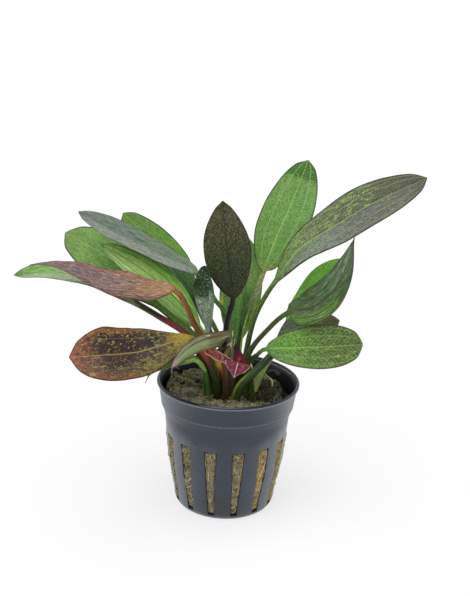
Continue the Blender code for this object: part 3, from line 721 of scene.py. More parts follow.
# Dry bits: bleached shreds of old stalk, splinters of straw and a flake of bark, caught between the
# stalks, on the wool and in three of the slots. Each has its half sizes, its colour and its route.
DRY_BITS = (
    ((0.24, 0.24, 0.24), (220, 204, 156), ((14.6, -16.2, 24.3), (13.1, -16.9, 19.2), (11.4, -16.9, 14.0))),
    ((0.16, 0.16, 0.16), (196, 168, 96), ((14.9, -15.6, 26), (12.2, -17.4, 20.6), (10.9, -17.7, 16))),
    ((0.5, 0.4, 0.5), (190, 120, 56), ((-19.7, -9.5, 28.0), (-19.1, -10.3, 25.7), (-18.7, -10.1, 23.6))),
    ((0.2, 0.2, 0.2), (206, 176, 100), ((5.2, -20.7, 21.4), (5.2, -20.3, 17.0), (4.9, -19.5, 12.6))),
    ((0.2, 0.2, 0.2), (186, 156, 92), ((5.4, -20.7, 21.6), (4.1, -20.8, 19.6), (2.7, -20.8, 17.8))),
    ((0.2, 0.2, 0.2), (190, 164, 96), ((3.3, -20.3, 15.2), (4.4, -19.9, 13.9), (5.5, -19.2, 12.0))),
    ((0.3, 0.2, 0.2), (208, 188, 150), ((0.9, -10.2, 70.4), (0.7, -10.1, 67.2), (0.2, -9.9, 63.6))),
    ((0.2, 0.2, 0.34), (150, 128, 104), ((-8.4, -13.1, 62.6), (-6.6, -13.2, 63.4), (-4.3, -13.1, 64.2))),
    ((0.2, 0.2, 0.3), (204, 184, 140), ((-1.1, -10.1, 64.4), (0.5, -10.2, 65.9))),
    ((0.2, 0.2, 0.2), (190, 190, 150), ((1.4, -5.5, 62.5), (1.8, -5.3, 65.5))),
    ((0.3, 0.2, 0.2), (196, 184, 150), ((7.7, -5.9, 56.6), (8.4, -6, 54.9), (9.2, -5.8, 53.0))),
    ((0.45, 0.4, 0.45), (74, 52, 40), ((-6.6, -11.5, 62.1), (-3.7, -11.5, 63.5), (-0.3, -11.0, 64.6))),
    ((0.7, 0.5, 0.7), (128, 112, 60), ((-2.4, -9.5, 59.1), (-1.2, -9.8, 61.5), (-0.1, -9.8, 63.8))),
    ((0.8, 0.5, 0.8), (72, 76, 48), ((-5.4, -8.0, 64.9), (-3.9, -8.0, 67.1), (-1.9, -8.2, 68.5))),
    ((0.9, 0.6, 0.9), (56, 60, 38), ((-12.1, -5.0, 60.1), (-10.8, -5.0, 58.8), (-9.5, -5.2, 57.2))),
    ((1.2, 1.2, 0.3), (66, 62, 52),
     ((14.6, 12.4, 45.6), (16.4, 12.8, 46.6), (18.2, 10.8, 46.8), (18.8, 9.0, 46.0))),
    ((0.4, 0.4, 0.4), (140, 136, 100),
     ((-21, 5.8, 45.9), (-21.3, 9, 46.8), (-20.6, 12, 46.8), (-18.6, 12.2, 46.1))),
)
BIT_STEPS = 6
BIT_SIDES = 8
bit_points, bit_faces, bit_tints = [], [], []
for half_sizes, bit_tone, route in DRY_BITS:
    curve = smooth_route(route, BIT_STEPS)
    bit_faces += ring_faces(len(curve), BIT_SIDES, len(bit_points))
    for k, (point, ring) in enumerate(zip(curve, tube_rings(curve, [1.0] * len(curve), BIT_SIDES))):
        taper = (1 - abs(2 * k / (len(curve) - 1) - 1) ** 4) ** 0.5 * 0.85 + 0.15
        taper *= 1 + 0.3 * noise.noise(point * 1.3)
        for place in ring:
            away = place / MM - point
            bit_points.append((point + Vector([a * size * taper for a, size in zip(away, half_sizes)])) * MM)
            bit_tints.extend(tint(*bit_tone))
bit_mesh = bpy.data.meshes.new("dry_bits")
bit_mesh.from_pydata(bit_points, [], bit_faces)
bit_mesh.shade_smooth()
keep_values(bit_mesh, "bit_tint", "FLOAT_COLOR", "color", bit_tints)
dry_plant, tree, shader = new_material("dry_plant", 0.7)
place = place_on_part(tree)[0]
bit_colour = add_node(tree, "Attribute", attribute_name="bit_tint").outputs["Color"]
bit_colour = shaded(tree, bit_colour, step(tree, grain(tree, place, 1200.0, 3.0), 0.3, 0.7, 0.6, 1.2))
dress(tree, shader, bit_colour, grain(tree, place, 2200.0, 2.0), 0.5, 0.0001)
add_piece("dry_bits", bit_mesh, dry_plant, "rock_wool")


# Leaves: each is one piece of soft leaf tissue that stands on the crown, a round stalk that flattens
# into a thin oval blade with a midrib, arching side veins and fine cross veins. The living ones are
# green to maroon.
ROUTE_STEPS = 16
STALK_RINGS = 16
BLADE_RINGS = 72
STALK_FOOT = 2.8
STALK_SETTLED = 0.6
STALK_DEPTH = 0.75
FOLD_REACHED = 0.25
BLADE_THICKNESS = 0.3
TIP_WIDTH = 0.25
POINT_START = 0.93
TIP_CROWDING = 1.5
EDGE_BEND = 1.3
FOOT_DEPTH = 1.2
EDGE_WOBBLE = 0.05
SIDE_VEINS = (0.5, 0.84)
VEIN_DEPTH = 0.07
VEIN_WIDTH = 0.35
RIB_WIDTH = 0.42
RIB_SUNK = 0.16
RIB_RAISED = 0.28
ACROSS = (1.0, 0.985, 0.95, 0.89, 0.8, 0.7, 0.6, 0.52, 0.46, 0.4, 0.3, 0.21, 0.14, 0.08, 0.035, 0.0)
LEAF_SECTION = [(u, 1) for u in ACROSS] + [(-u, 1) for u in reversed(ACROSS[:-1])]
LEAF_SECTION += [(u, -1) for u, _ in reversed(LEAF_SECTION[1:-1])]


def blade_outline(t, leaf):
    """Half width of a blade as a share of its greatest, from its neck (0) to its tip (1)."""
    widest = leaf["widest"]
    if t < widest:
        return math.sin(math.pi / 2 * t / widest) ** leaf["taper"]
    past = min(1.0, (t - widest) / (1 - widest))
    curved = math.cos(math.pi / 2 * past) ** leaf["blunt"]
    left = min(1.0, max(0.0, (1 - t) / (1 - POINT_START)))
    return curved * math.sqrt(math.sin(math.pi / 2 * left))


def along_curve(curve, lengths, distance):
    """Point and smooth direction of a curve at a distance from its start."""
    k = 0
    while k < len(lengths) - 2 and lengths[k + 1] < distance:
        k += 1
    share = (distance - lengths[k]) / (lengths[k + 1] - lengths[k])
    before = curve[k + 1] - curve[max(k - 1, 0)]
    after = curve[min(k + 2, len(curve) - 1)] - curve[k]
    ahead = before.normalized().lerp(after.normalized(), min(max(share, 0.0), 1.0))
    return curve[k].lerp(curve[k + 1], share), ahead.normalized()


def leaf_mesh(leaf):
    """Closed mesh of one leaf. Each point also keeps its place on the leaf for the material: across
    from -1 to 1, along from -1 at the foot over 0 at the neck to 1, and the same in millimetres."""
    curve = smooth_route(leaf["route"], ROUTE_STEPS)
    lengths = [0.0]
    for a, b in zip(curve, curve[1:]):
        lengths.append(lengths[-1] + (b - a).length)
    neck = lengths[leaf["neck"] * ROUTE_STEPS]
    whole = lengths[-1]
    stalk = leaf["stalk"] / 2
    seed = sum(ord(letter) for letter in leaf["name"]) * 0.37
    stations = [-FOOT_DEPTH + (neck + FOOT_DEPTH) * k / STALK_RINGS for k in range(STALK_RINGS)]
    shares = [1 - (1 - k / BLADE_RINGS) ** TIP_CROWDING for k in range(BLADE_RINGS + 1)]
    stations += [neck + (whole - neck) * share for share in shares]
    rings, shares_on_leaf, places_on_leaf = [], [], []
    for distance in stations:
        point, ahead = along_curve(curve, lengths, distance)
        t = max(0.0, (distance - neck) / (whole - neck))
        if distance < neck:
            foot = leaf.get("foot", STALK_FOOT) / 2
            half = foot + (stalk - foot) * min(1.0, max(0.0, distance) / neck / STALK_SETTLED)
            thick = half * STALK_DEPTH
        else:
            half = leaf["width"] / 2 * blade_outline(t, leaf) + stalk * (1 - t) ** 2 + TIP_WIDTH * t
            thick = stalk * STALK_DEPTH * (1 - t) ** 2 + BLADE_THICKNESS * (0.4 + 0.6 * (1 - t))
        faces = Vector(leaf["faces"][0]).lerp(Vector(leaf["faces"][1]), t)
        up = (faces - ahead * faces.dot(ahead)).normalized()
        side = ahead.cross(up)
        bend = leaf["fold"] * min(1.0, t / FOLD_REACHED)
        flat = min(1.0, t * 6)
        swell = math.sin(math.pi * min(t * 1.05, 1.0))
        ring = []
        for u, face in LEAF_SECTION:
            wobble = noise.noise(Vector((t * 5.0, math.copysign(3.0, u), seed)))
            x = u * (half * (1 + EDGE_WOBBLE * flat * (1 - t) * wobble))
            lift = face * thick * math.sqrt(1 - u * u) + bend * half * abs(u) ** EDGE_BEND
            if flat > 0.0:
                wave = noise.noise(Vector((t * 4.5, math.copysign(2.0, u), seed + 5)))
                lift += leaf.get("wave", 0.35) * swell * u * u * wave
                for vein in SIDE_VEINS:
                    lift -= VEIN_DEPTH * swell * math.exp(-((abs(u) - vein) * half / VEIN_WIDTH) ** 2)
                rib = math.exp(-(x / RIB_WIDTH) ** 2) * flat
                lift -= rib * (RIB_SUNK if face > 0 else RIB_RAISED * (1 - t))
                crinkle = noise.noise(Vector((x * 0.45 + seed, (distance - neck) * 0.22, 1.0)))
                lift += leaf.get("crinkle", 0.12) * flat * crinkle
            ring.append((point + side * x + up * lift) * MM)
            along = t if distance >= neck else max(distance / neck, 0.0) - 1.0
            shares_on_leaf += (u, along, 0.0 if face > 0 else 1.0)
            places_on_leaf += (x, distance - neck, half * (1 - abs(u)))
        rings.append(ring)
    mesh = loft(leaf["name"], rings)
    keep_values(mesh, "leaf_share", "FLOAT_VECTOR", "vector", shares_on_leaf)
    keep_values(mesh, "leaf_place", "FLOAT_VECTOR", "vector", places_on_leaf)
    return mesh


# Where a point lies on its leaf, as the mesh keeps it.
SHARE_NAMES = ("Across", "Along", "Under")
PLACE_NAMES = ("Sideways", "Distance", "Inset")
tree, given, given_out = new_group("leaf_where", (), SHARE_NAMES + PLACE_NAMES)
leaf_where = tree
for label, names in (("leaf_share", SHARE_NAMES), ("leaf_place", PLACE_NAMES)):
    kept = add_node(tree, "Attribute", attribute_name=label).outputs["Vector"]
    for name, socket in zip(names, add_node(tree, "SeparateXYZ", {0: kept}).outputs):
        tree.links.new(socket, given_out[name])

# Veins: a midrib that thins towards the tip, two pairs of veins that arch from neck to tip, cross
# veins like the rungs of a ladder, and the fine net between them.
VEIN_INPUTS = (("Midrib", 0.5), ("Vein", 0.22), ("First", SIDE_VEINS[0]), ("Second", SIDE_VEINS[1]),
               ("Rungs", 0.9), ("Slope", 0.6))
tree, given, given_out = new_group("leaf_veins", VEIN_INPUTS, ("Midrib", "Veins", "Rungs", "Net"))
leaf_veins = tree
where = use_group(tree, leaf_where)
blade = step(tree, where["Along"], 0.02, 0.12)
sideways = calc(tree, "ABSOLUTE", where["Sideways"])
thinning = step(tree, where["Along"], -0.1, 1.0, 1.0, 0.35)
rib = calc(tree, "DIVIDE", sideways, times(tree, given["Midrib"], thinning))
share = calc(tree, "ABSOLUTE", where["Across"])
half = calc(tree, "ADD", sideways, where["Inset"])
veins = 0.0
for name in ("First", "Second"):
    away = calc(tree, "ABSOLUTE", calc(tree, "SUBTRACT", share, given[name]))
    line = calc(tree, "DIVIDE", times(tree, away, half), given["Vein"])
    veins = calc(tree, "MAXIMUM", step(tree, line, 1.0, 0.3), veins)
place = add_node(tree, "CombineXYZ", {0: where["Sideways"], 1: where["Distance"]}).outputs[0]
drift = times(tree, grain(tree, place, 0.5), 2.5)
rung = calc(tree, "ADD", where["Distance"], times(tree, sideways, given["Slope"]))
rung = calc(tree, "DIVIDE", calc(tree, "ADD", rung, drift), given["Rungs"])
rung = calc(tree, "PINGPONG", rung, 0.5)
cells = add_node(tree, "TexVoronoi", {"Vector": place, "Scale": 1.05}, feature="DISTANCE_TO_EDGE")
for name, line in (
    ("Midrib", step(tree, rib, 1.0, 0.45)),
    ("Veins", veins),
    ("Rungs", step(tree, rung, 0.20, 0.03)),
    ("Net", step(tree, cells.outputs["Distance"], 0.13, 0.03)),
):
    tree.links.new(times(tree, line, blade), given_out[name])

# Blotches: irregular marks drawn out along the leaf, finer or coarser, more or fewer.
BLOTCH_INPUTS = (("Size", 2.0), ("Stretch", 2.0), ("Cover", 0.5), ("Edge", 0.05), ("Seed", 0.0))
tree, given, given_out = new_group("leaf_blotches", BLOTCH_INPUTS, ("Blotches",))
leaf_blotches = tree
where = use_group(tree, leaf_where)
lean = times(tree, calc(tree, "ABSOLUTE", where["Sideways"]), 0.7)
run = calc(tree, "DIVIDE", calc(tree, "ADD", where["Distance"], lean), given["Stretch"])
place = add_node(tree, "CombineXYZ", {0: where["Sideways"], 1: run, 2: given["Seed"]}).outputs[0]
cloud = grain(tree, place, calc(tree, "DIVIDE", 1.0, given["Size"]), 4.0)
low = calc(tree, "SUBTRACT", 0.5, times(tree, calc(tree, "SUBTRACT", given["Cover"], 0.5), 0.6))
start, end = calc(tree, "SUBTRACT", low, given["Edge"]), calc(tree, "ADD", low, given["Edge"])
tree.links.new(step(tree, cloud, start, end), given_out["Blotches"])

# Zone: a soft ragged area of a leaf between two places along it and two across it.
ZONE_INPUTS = (("From", 0.0), ("To", 1.0), ("Left", -1.0), ("Right", 1.0), ("Soft", 0.05), ("Ragged", 0.1))
tree, given, given_out = new_group("leaf_zone", ZONE_INPUTS, ("Zone",))
leaf_zone = tree
where = use_group(tree, leaf_where)
place = add_node(tree, "CombineXYZ", {0: where["Sideways"], 1: where["Distance"]}).outputs[0]
ragged = times(tree, calc(tree, "SUBTRACT", grain(tree, place, 0.45, 4.0), 0.5), 2.0)
ragged = times(tree, ragged, given["Ragged"])
inside = 1.0
for name, low, high in (("Along", "From", "To"), ("Across", "Left", "Right")):
    moved = calc(tree, "ADD", where[name], ragged)
    for edge in (calc(tree, "SUBTRACT", moved, given[low]), calc(tree, "SUBTRACT", given[high], moved)):
        inside = times(tree, step(tree, calc(tree, "DIVIDE", edge, given["Soft"]), -1.0, 1.0), inside)
tree.links.new(inside, given_out["Zone"])


def zone(start, end, share, tone, across=(-1.0, 1.0), soft=0.05, ragged=0.1, spots=()):
    """Part of a leaf with a tone of its own: where it starts and ends along the leaf, how strong the
    tone is, where it lies across the leaf, and how soft and ragged its edge is. Spots break it up
    into blotches of a size, stretch, cover, edge and seed."""
    limits = (start, end, *across, soft, ragged)
    at = {name: value for (name, _), value in zip(ZONE_INPUTS, limits)}
    return at, {name: value for (name, _), value in zip(BLOTCH_INPUTS, spots)}, share, tone


def leaf_material(leaf):
    """Material of one leaf from its own colours: tones from foot to tip, zones, veins and rim."""
    gloss, mottle, streaks = leaf.get("gloss", 0.42), leaf.get("mottle", 0.28), leaf.get("streaks", 0.15)
    material, tree, shader = new_material(leaf["name"], gloss)
    where = use_group(tree, leaf_where)
    sideways, distance = where["Sideways"], where["Distance"]
    lines = use_group(tree, leaf_veins, **leaf["lines"])
    along = calc(tree, "MULTIPLY_ADD", where["Along"], 0.5, 0.5)
    colour = ramp(tree, along, [((place_along + 1) / 2, *tone) for place_along, *tone in leaf["tones"]])
    for at, spots, share, tone in leaf.get("zones", ()):
        mask = use_group(tree, leaf_zone, **at)["Zone"]
        if spots:
            mask = times(tree, mask, use_group(tree, leaf_blotches, **spots)["Blotches"])
        colour = lay(tree, colour, mask, share, tone)
    lean = calc(tree, "MULTIPLY_ADD", calc(tree, "ABSOLUTE", sideways), -0.6, distance)
    lean = add_node(tree, "CombineXYZ", {0: times(tree, sideways, 0.4), 1: lean}).outputs[0]
    fine = grain(tree, lean, 2.1, 3.0)
    drawn_out = add_node(tree, "CombineXYZ", {0: sideways, 1: times(tree, distance, 0.13)}).outputs[0]
    drawn_out = step(tree, grain(tree, drawn_out, 2.4, 3.0), 0.3, 0.7, 1.0 - streaks, 1.0 + streaks)
    shade = step(tree, fine, 0.36, 0.64, 1.0 - mottle, 1.0 + mottle)
    colour = shaded(tree, colour, times(tree, shade, drawn_out))
    for name, (*tone, share) in leaf["veined"].items():
        colour = lay(tree, colour, lines[name], share, tone)
    blade = step(tree, where["Along"], 0.0, 0.08)
    *rim_tone, rim_width, rim_share = leaf["rim"]
    rim = times(tree, step(tree, where["Inset"], rim_width, rim_width * 0.3), rim_share)
    colour = lay(tree, colour, rim, blade, rim_tone)
    *under_tone, under_share = leaf.get("under", (140, 156, 118, 0.5))
    colour = lay(tree, colour, times(tree, where["Under"], blade), under_share, under_tone)
    relief = calc(tree, "ADD", times(tree, lines["Rungs"], -0.5), times(tree, fine, 1.2))
    relief = calc(tree, "ADD", relief, times(tree, lines["Veins"], -0.8))
    dress(tree, shader, colour, relief, 0.5, 0.0002)
    tree.links.new(step(tree, fine, 0.2, 0.8, gloss - 0.08, gloss + 0.08), shader["Roughness"])
    return material


def add_leaf(slot, **leaf):
    """One whole leaf in place of its CAD node. Sizes and route are in millimetres, neck is the point of
    the route where the blade starts, and tones and zones lie from -1 at the foot over 0 at the neck
    to 1 at the tip. Veins, rim and underside have a tone and a strength, the rim also its width."""
    add_piece(leaf["name"] + "_fine", leaf_mesh(leaf), leaf_material(leaf), slot, leaf["name"])


# The long leaf on the right, half turned to the light: dark olive and maroon, mottled and streaked
# with lime, with a painted grey sheen on its lower half.
add_leaf(
    "leaf_mottled", name="leaf_right_long", width=17.5, widest=0.6, taper=0.9, blunt=0.55, fold=0.1,
    stalk=1.9, neck=4, faces=((-0.4, -0.7, 0.6), (-0.3, -0.7, 0.7)),
    route=((5.6, 1.4, 41.5), (6.2, 4, 57), (8.5, 6, 69), (12, 8, 77), (16, 9, 83.5), (24, 10, 95),
           (36, 12, 103.5), (49, 14, 112), (68.5, 18, 121.5)),
    tones=((-1, 70, 92, 44), (-0.6, 76, 104, 46), (-0.1, 98, 118, 50), (0.06, 104, 132, 72),
           (0.2, 114, 128, 96), (0.4, 106, 110, 86), (0.7, 92, 92, 76), (0.9, 84, 82, 72), (1, 64, 58, 54)),
    zones=(
        # Painted sheen: grey on the lower half, in this zone and the next.
        zone(0.05, 0.5, 0.75, (132, 136, 138), (0.04, 1.3), 0.1),
        zone(0.4, 0.9, 0.6, (112, 112, 116), (0.04, 1.2), 0.12, 0.15),
        zone(0.3, 0.95, 0.6, (78, 70, 62), (-0.95, 0.0), spots=(1.3, 2.5, 0.47, 0.08, 9.0)),
        zone(0.1, 0.72, 0.9, (132, 166, 90), (-0.97, 0.04), 0.1, 0.15, spots=(0.8, 3.0, 0.43, 0.05, 2.0)),
        zone(0.15, 0.85, 0.65, (124, 146, 84), (0.05, 1.0), 0.1, 0.15, spots=(0.6, 3.0, 0.33, 0.05, 5.0)),
        zone(-0.02, 0.36, 0.85, (104, 146, 66), (-1.0, 0.5), 0.1, spots=(0.5, 8.0, 0.45, 0.06, 15.0)),
        zone(0.0, 0.9, 0.4, (62, 62, 54), spots=(0.45, 9.0, 0.36, 0.05, 12.0)),
        # Painted shade along one side of the stalk.
        zone(-1.1, -0.05, 0.7, (48, 66, 36), (0.35, 1.4), 0.1, 0.05),
    ),
    lines=dict(Midrib=0.42, Vein=0.24, Rungs=1.2, Slope=-0.8),
    veined=dict(Net=(64, 62, 52, 0.3), Rungs=(136, 152, 96, 0.22), Veins=(138, 158, 86, 0.6),
                Midrib=(148, 168, 92, 0.8)),
    rim=(50, 40, 42, 0.75, 0.9), mottle=0.36, streaks=0.36,
)


# The tall green leaf behind: a firm blade with light veins, plain rungs and a darker tip, on a long
# stalk from the back of the crown.
add_leaf(
    "leaf_green", name="leaf_tall_green", width=18, widest=0.5, taper=0.6, blunt=0.55, fold=0.08, stalk=1.9,
    neck=4, faces=((-0.1, -0.9, 0.4), (-0.2, -0.9, 0.3)),
    route=((3, 3.8, 41.5), (3.6, 8, 59.5), (5.7, 10, 70.5), (9, 12, 77.5), (11.5, 14, 85.5), (15.5, 18, 97),
           (20.5, 23, 108.5), (26.5, 31, 124)),
    tones=((-1, 60, 78, 38), (-0.55, 56, 82, 40), (-0.35, 74, 98, 52), (-0.2, 132, 144, 100),
           (-0.05, 150, 158, 108), (0.03, 136, 152, 80), (0.1, 98, 148, 60), (0.5, 104, 148, 70),
           (0.78, 104, 144, 74), (1, 88, 132, 52)),
    zones=(
        zone(0.83, 1.2, 1.0, (40, 92, 10), soft=0.02, ragged=0.08),
        zone(0.3, 0.82, 0.5, (86, 132, 66), (0.02, 0.5), 0.06),
        zone(-0.05, 0.8, 0.4, (122, 164, 94), spots=(3.0, 2.0, 0.5, 0.12, 4.0)),
        zone(0.0, 1.0, 0.5, (80, 124, 56), spots=(0.7, 1.5, 0.38, 0.08, 14.0)),
        # Painted highlight along one side of the stalk.
        zone(-0.85, -0.35, 0.8, (160, 192, 76), (0.4, 1.4), 0.1, 0.03),
    ),
    lines=dict(Midrib=0.32, Vein=0.2, First=0.52, Second=0.97, Rungs=1.0, Slope=-0.7),
    veined=dict(Net=(82, 128, 58, 0.35), Rungs=(146, 184, 110, 0.4), Veins=(158, 190, 112, 0.7),
                Midrib=(162, 194, 112, 0.85)),
    rim=(52, 54, 36, 0.65, 0.95), mottle=0.36,
)


# The dark upright leaf in the middle: a chocolate blade speckled with green, on a near black stalk
# from the middle of the crown.
add_leaf(
    "leaf_dark", name="leaf_dark_upright", width=16, widest=0.5, taper=0.7, blunt=0.75, fold=0.08,
    stalk=1.9, neck=3, faces=((0.0, -0.95, 0.2), (0.0, -0.95, 0.3)),
    route=((-1, 0.6, 41.5), (-2, 0.5, 61), (-1, 0, 71.5), (0.5, 0, 79), (-1.5, 1, 91.5), (-3.3, 3, 103),
           (-4.5, 6, 112.5)),
    tones=((-1, 70, 62, 40), (-0.75, 48, 42, 34), (-0.1, 36, 33, 33), (0.05, 38, 40, 32), (0.3, 50, 56, 34),
           (0.6, 68, 70, 45), (0.85, 84, 75, 55), (1, 66, 56, 48)),
    zones=(
        zone(0.02, 1.1, 0.75, (94, 112, 60), spots=(0.34, 1.0, 0.38, 0.06, 1.0)),
        zone(0.02, 1.1, 0.8, (30, 30, 21), spots=(0.7, 1.0, 0.42, 0.06, 5.0)),
    ),
    lines=dict(Midrib=0.6, Vein=0.22, Rungs=1.0),
    veined=dict(Rungs=(96, 100, 60, 0.12), Veins=(60, 56, 42, 0.3), Midrib=(44, 40, 38, 0.8)),
    rim=(40, 34, 34, 0.45, 0.85), gloss=0.45, mottle=0.45,
)


# The green leaf that stands behind the dark one, yellowing at its right edge, on a short stalk from
# the back of the crown.
add_leaf(
    "leaf_green", name="leaf_behind_dark", width=15, widest=0.5, taper=0.8, blunt=0.7, fold=0.08, stalk=1.8,
    neck=1, faces=((0.1, -0.95, 0.2), (0.0, -0.95, 0.3)),
    route=((1.4, 8.4, 41.5), (2, 13, 56.5), (3, 17, 73), (4.5, 20, 86.5), (5, 22, 96)),
    tones=((-1, 104, 128, 66), (-0.3, 90, 132, 60), (0.1, 96, 142, 70), (0.6, 110, 156, 80),
           (1, 108, 150, 76)),
    zones=(
        zone(0.45, 1.1, 0.7, (134, 168, 94), (0.3, 1.2), 0.12),
        zone(0.12, 0.5, 0.8, (70, 104, 62), (0.15, 0.7), 0.06, 0.08),
        zone(0.0, 0.6, 0.6, (150, 168, 90), (0.7, 1.2), 0.1),
        zone(0.0, 0.38, 0.7, (104, 126, 92), (-1.2, -0.3), 0.08),
        zone(0.35, 0.42, 0.9, (214, 210, 60), (-1.2, -0.8), 0.03, 0.08),
    ),
    lines=dict(Midrib=0.4, Vein=0.22),
    veined=dict(Rungs=(136, 172, 92, 0.25), Veins=(136, 170, 86, 0.5), Midrib=(142, 176, 90, 0.6)),
    rim=(84, 84, 48, 0.35, 0.6), mottle=0.3, streaks=0.25,
)


# Four leaves low on the right: a glossy dark one that curls up, a bright one behind it, a mottled
# green one in front and a blue-green one under that.
add_leaf(
    "leaf_dark_green", name="leaf_right_curved", width=12.2, widest=0.32, taper=0.45, blunt=1.1, fold=0.3,
    stalk=1.8, neck=3, faces=((-0.25, -0.75, 0.6), (-0.8, -0.6, 0.1)),
    route=((5.9, -1.8, 41.5), (6.7, -1, 57.5), (14, -3, 69.5), (20, -6, 76.3), (25, -7.6, 77.6),
           (29.8, -8.7, 80.2), (34, -9.2, 84.4), (37.2, -8.5, 89.8), (39.4, -5.6, 95.4), (41.8, 0, 102.7)),
    tones=((-1, 84, 96, 48), (-0.5, 66, 78, 40), (-0.05, 78, 88, 48), (0.08, 66, 92, 48), (0.4, 72, 98, 56),
           (0.7, 90, 110, 80), (0.9, 106, 122, 98), (1, 86, 92, 76)),
    zones=(
        zone(0.02, 0.5, 0.85, (92, 134, 46), (0.35, 1.2), 0.12),
        zone(0.45, 0.75, 0.7, (56, 86, 42), (0.35, 1.2), 0.12),
        zone(0.72, 1.1, 0.8, (96, 110, 84), (0.1, 1.2), 0.12),
        zone(0.1, 1.0, 0.6, (124, 138, 114), (-0.85, 0.9), 0.1, spots=(0.4, 10.0, 0.42, 0.06, 3.0)),
        zone(0.05, 0.95, 0.6, (40, 54, 34), spots=(0.5, 7.0, 0.42, 0.07, 13.0)),
    ),
    lines=dict(Midrib=0.55, Vein=0.35),
    veined=dict(Rungs=(110, 142, 84, 0.15), Veins=(54, 70, 48, 0.65), Midrib=(66, 68, 46, 0.8)),
    rim=(46, 44, 38, 0.5, 0.85), gloss=0.32, mottle=0.16, streaks=0.2,
)
add_leaf(
    "leaf_green", name="leaf_right_back", width=12, widest=0.6, taper=0.8, blunt=0.7, fold=0.08, stalk=2.6,
    neck=3, faces=((-0.4, -0.7, 0.6), (-0.4, -0.7, 0.6)),
    route=((9.4, 3.4, 41.5), (12.5, 6, 49), (17.5, 9, 58), (21.5, 12, 66.5), (29.5, 16, 76),
           (36.5, 19, 83.5), (44, 22, 89)),
    tones=((-1, 154, 169, 100), (-0.4, 146, 174, 100), (0.05, 118, 176, 64), (0.5, 118, 188, 62),
           (1, 122, 192, 66)),
    zones=(
        zone(0.1, 1.0, 0.4, (138, 200, 84), spots=(3.0, 2.0, 0.45, 0.12, 6.0)),
    ),
    lines=dict(Midrib=0.4, Vein=0.22),
    veined=dict(Rungs=(132, 180, 84, 0.25), Veins=(130, 178, 84, 0.5), Midrib=(140, 184, 90, 0.6)),
    rim=(52, 70, 34, 0.4, 0.8), mottle=0.14,
)
add_leaf(
    "leaf_green", name="leaf_right_low", width=15, widest=0.62, taper=0.62, blunt=0.42, fold=0.06,
    stalk=1.5, neck=3, faces=((0.0, -0.85, 0.5), (0.1, -0.85, 0.5)),
    route=((8.6, -4, 41.5), (7.8, -5, 56.5), (10, -7, 60.5), (13, -9, 63.5), (24.5, -13, 66),
           (35.5, -15, 67.7), (45.3, -17, 69.6)),
    tones=((-1, 72, 84, 44), (-0.2, 56, 70, 36), (0.0, 98, 138, 70), (0.15, 94, 144, 60),
           (0.45, 94, 144, 56), (0.7, 92, 124, 56), (0.9, 84, 98, 54), (1, 76, 76, 48)),
    zones=(
        zone(0.0, 0.5, 0.5, (108, 134, 92), (0.25, 1.2), 0.15),
        zone(0.38, 1.1, 0.9, (80, 92, 54), soft=0.12, ragged=0.25, spots=(1.8, 1.6, 0.62, 0.14, 3.0)),
        zone(0.1, 0.95, 0.6, (134, 184, 76), soft=0.12, ragged=0.2, spots=(0.5, 4.0, 0.34, 0.05, 8.0)),
        zone(0.0, 1.0, 0.6, (52, 74, 36), spots=(0.6, 2.0, 0.38, 0.06, 18.0)),
        zone(0.742, 0.758, 1.0, (226, 214, 130), (0.43, 0.5), 0.008, 0.01),
    ),
    lines=dict(Midrib=0.36, Vein=0.2, Rungs=1.6, Slope=-1.0),
    veined=dict(Net=(66, 98, 44, 0.25), Rungs=(146, 182, 90, 0.3), Veins=(138, 168, 82, 0.55),
                Midrib=(148, 176, 84, 0.8)),
    rim=(70, 60, 42, 0.6, 0.85), mottle=0.34,
)
add_leaf(
    "leaf_dark_green", name="leaf_right_under", width=14, widest=0.5, taper=0.9, blunt=0.7, fold=0.08,
    stalk=2.8, foot=4.0, neck=4, faces=((-0.3, -0.6, 0.7), (-0.1, -0.6, 0.8)),
    route=((2.4, -6.9, 41.5), (4.2, -8.2, 48.3), (7.6, -7.6, 52.3), (12.1, -5.5, 56.4), (17, -2.5, 61),
           (25, 1, 66.5), (32.5, 3, 69), (39.5, 5, 70.5)),
    tones=((-1, 102, 119, 52), (-0.6, 68, 91, 42), (-0.2, 51, 71, 36), (0.05, 61, 84, 54),
           (0.5, 66, 86, 66), (0.78, 84, 78, 46), (1, 88, 78, 44)),
    zones=(
        # Painted highlight along one side of the stalk and painted shade along the other.
        zone(-1.1, -0.55, 0.8, (155, 171, 70), (-1.3, -0.15), 0.12, 0.04),
        zone(-1.1, -0.05, 0.75, (36, 52, 28), (0.2, 1.3), 0.15, 0.04),
        zone(-0.62, -0.1, 0.7, (161, 186, 112), (-1.3, -0.72), 0.08, 0.03),
        zone(0.0, 0.75, 0.6, (128, 150, 120), spots=(0.4, 10.0, 0.42, 0.06, 5.0)),
        zone(0.0, 1.0, 0.6, (34, 46, 32), spots=(0.5, 10.0, 0.42, 0.06, 15.0)),
    ),
    lines=dict(Midrib=0.5, Vein=0.26),
    veined=dict(Rungs=(110, 128, 96, 0.2), Veins=(110, 122, 96, 0.4), Midrib=(96, 110, 72, 0.6)),
    rim=(56, 56, 42, 0.35, 0.7), gloss=0.34,
)


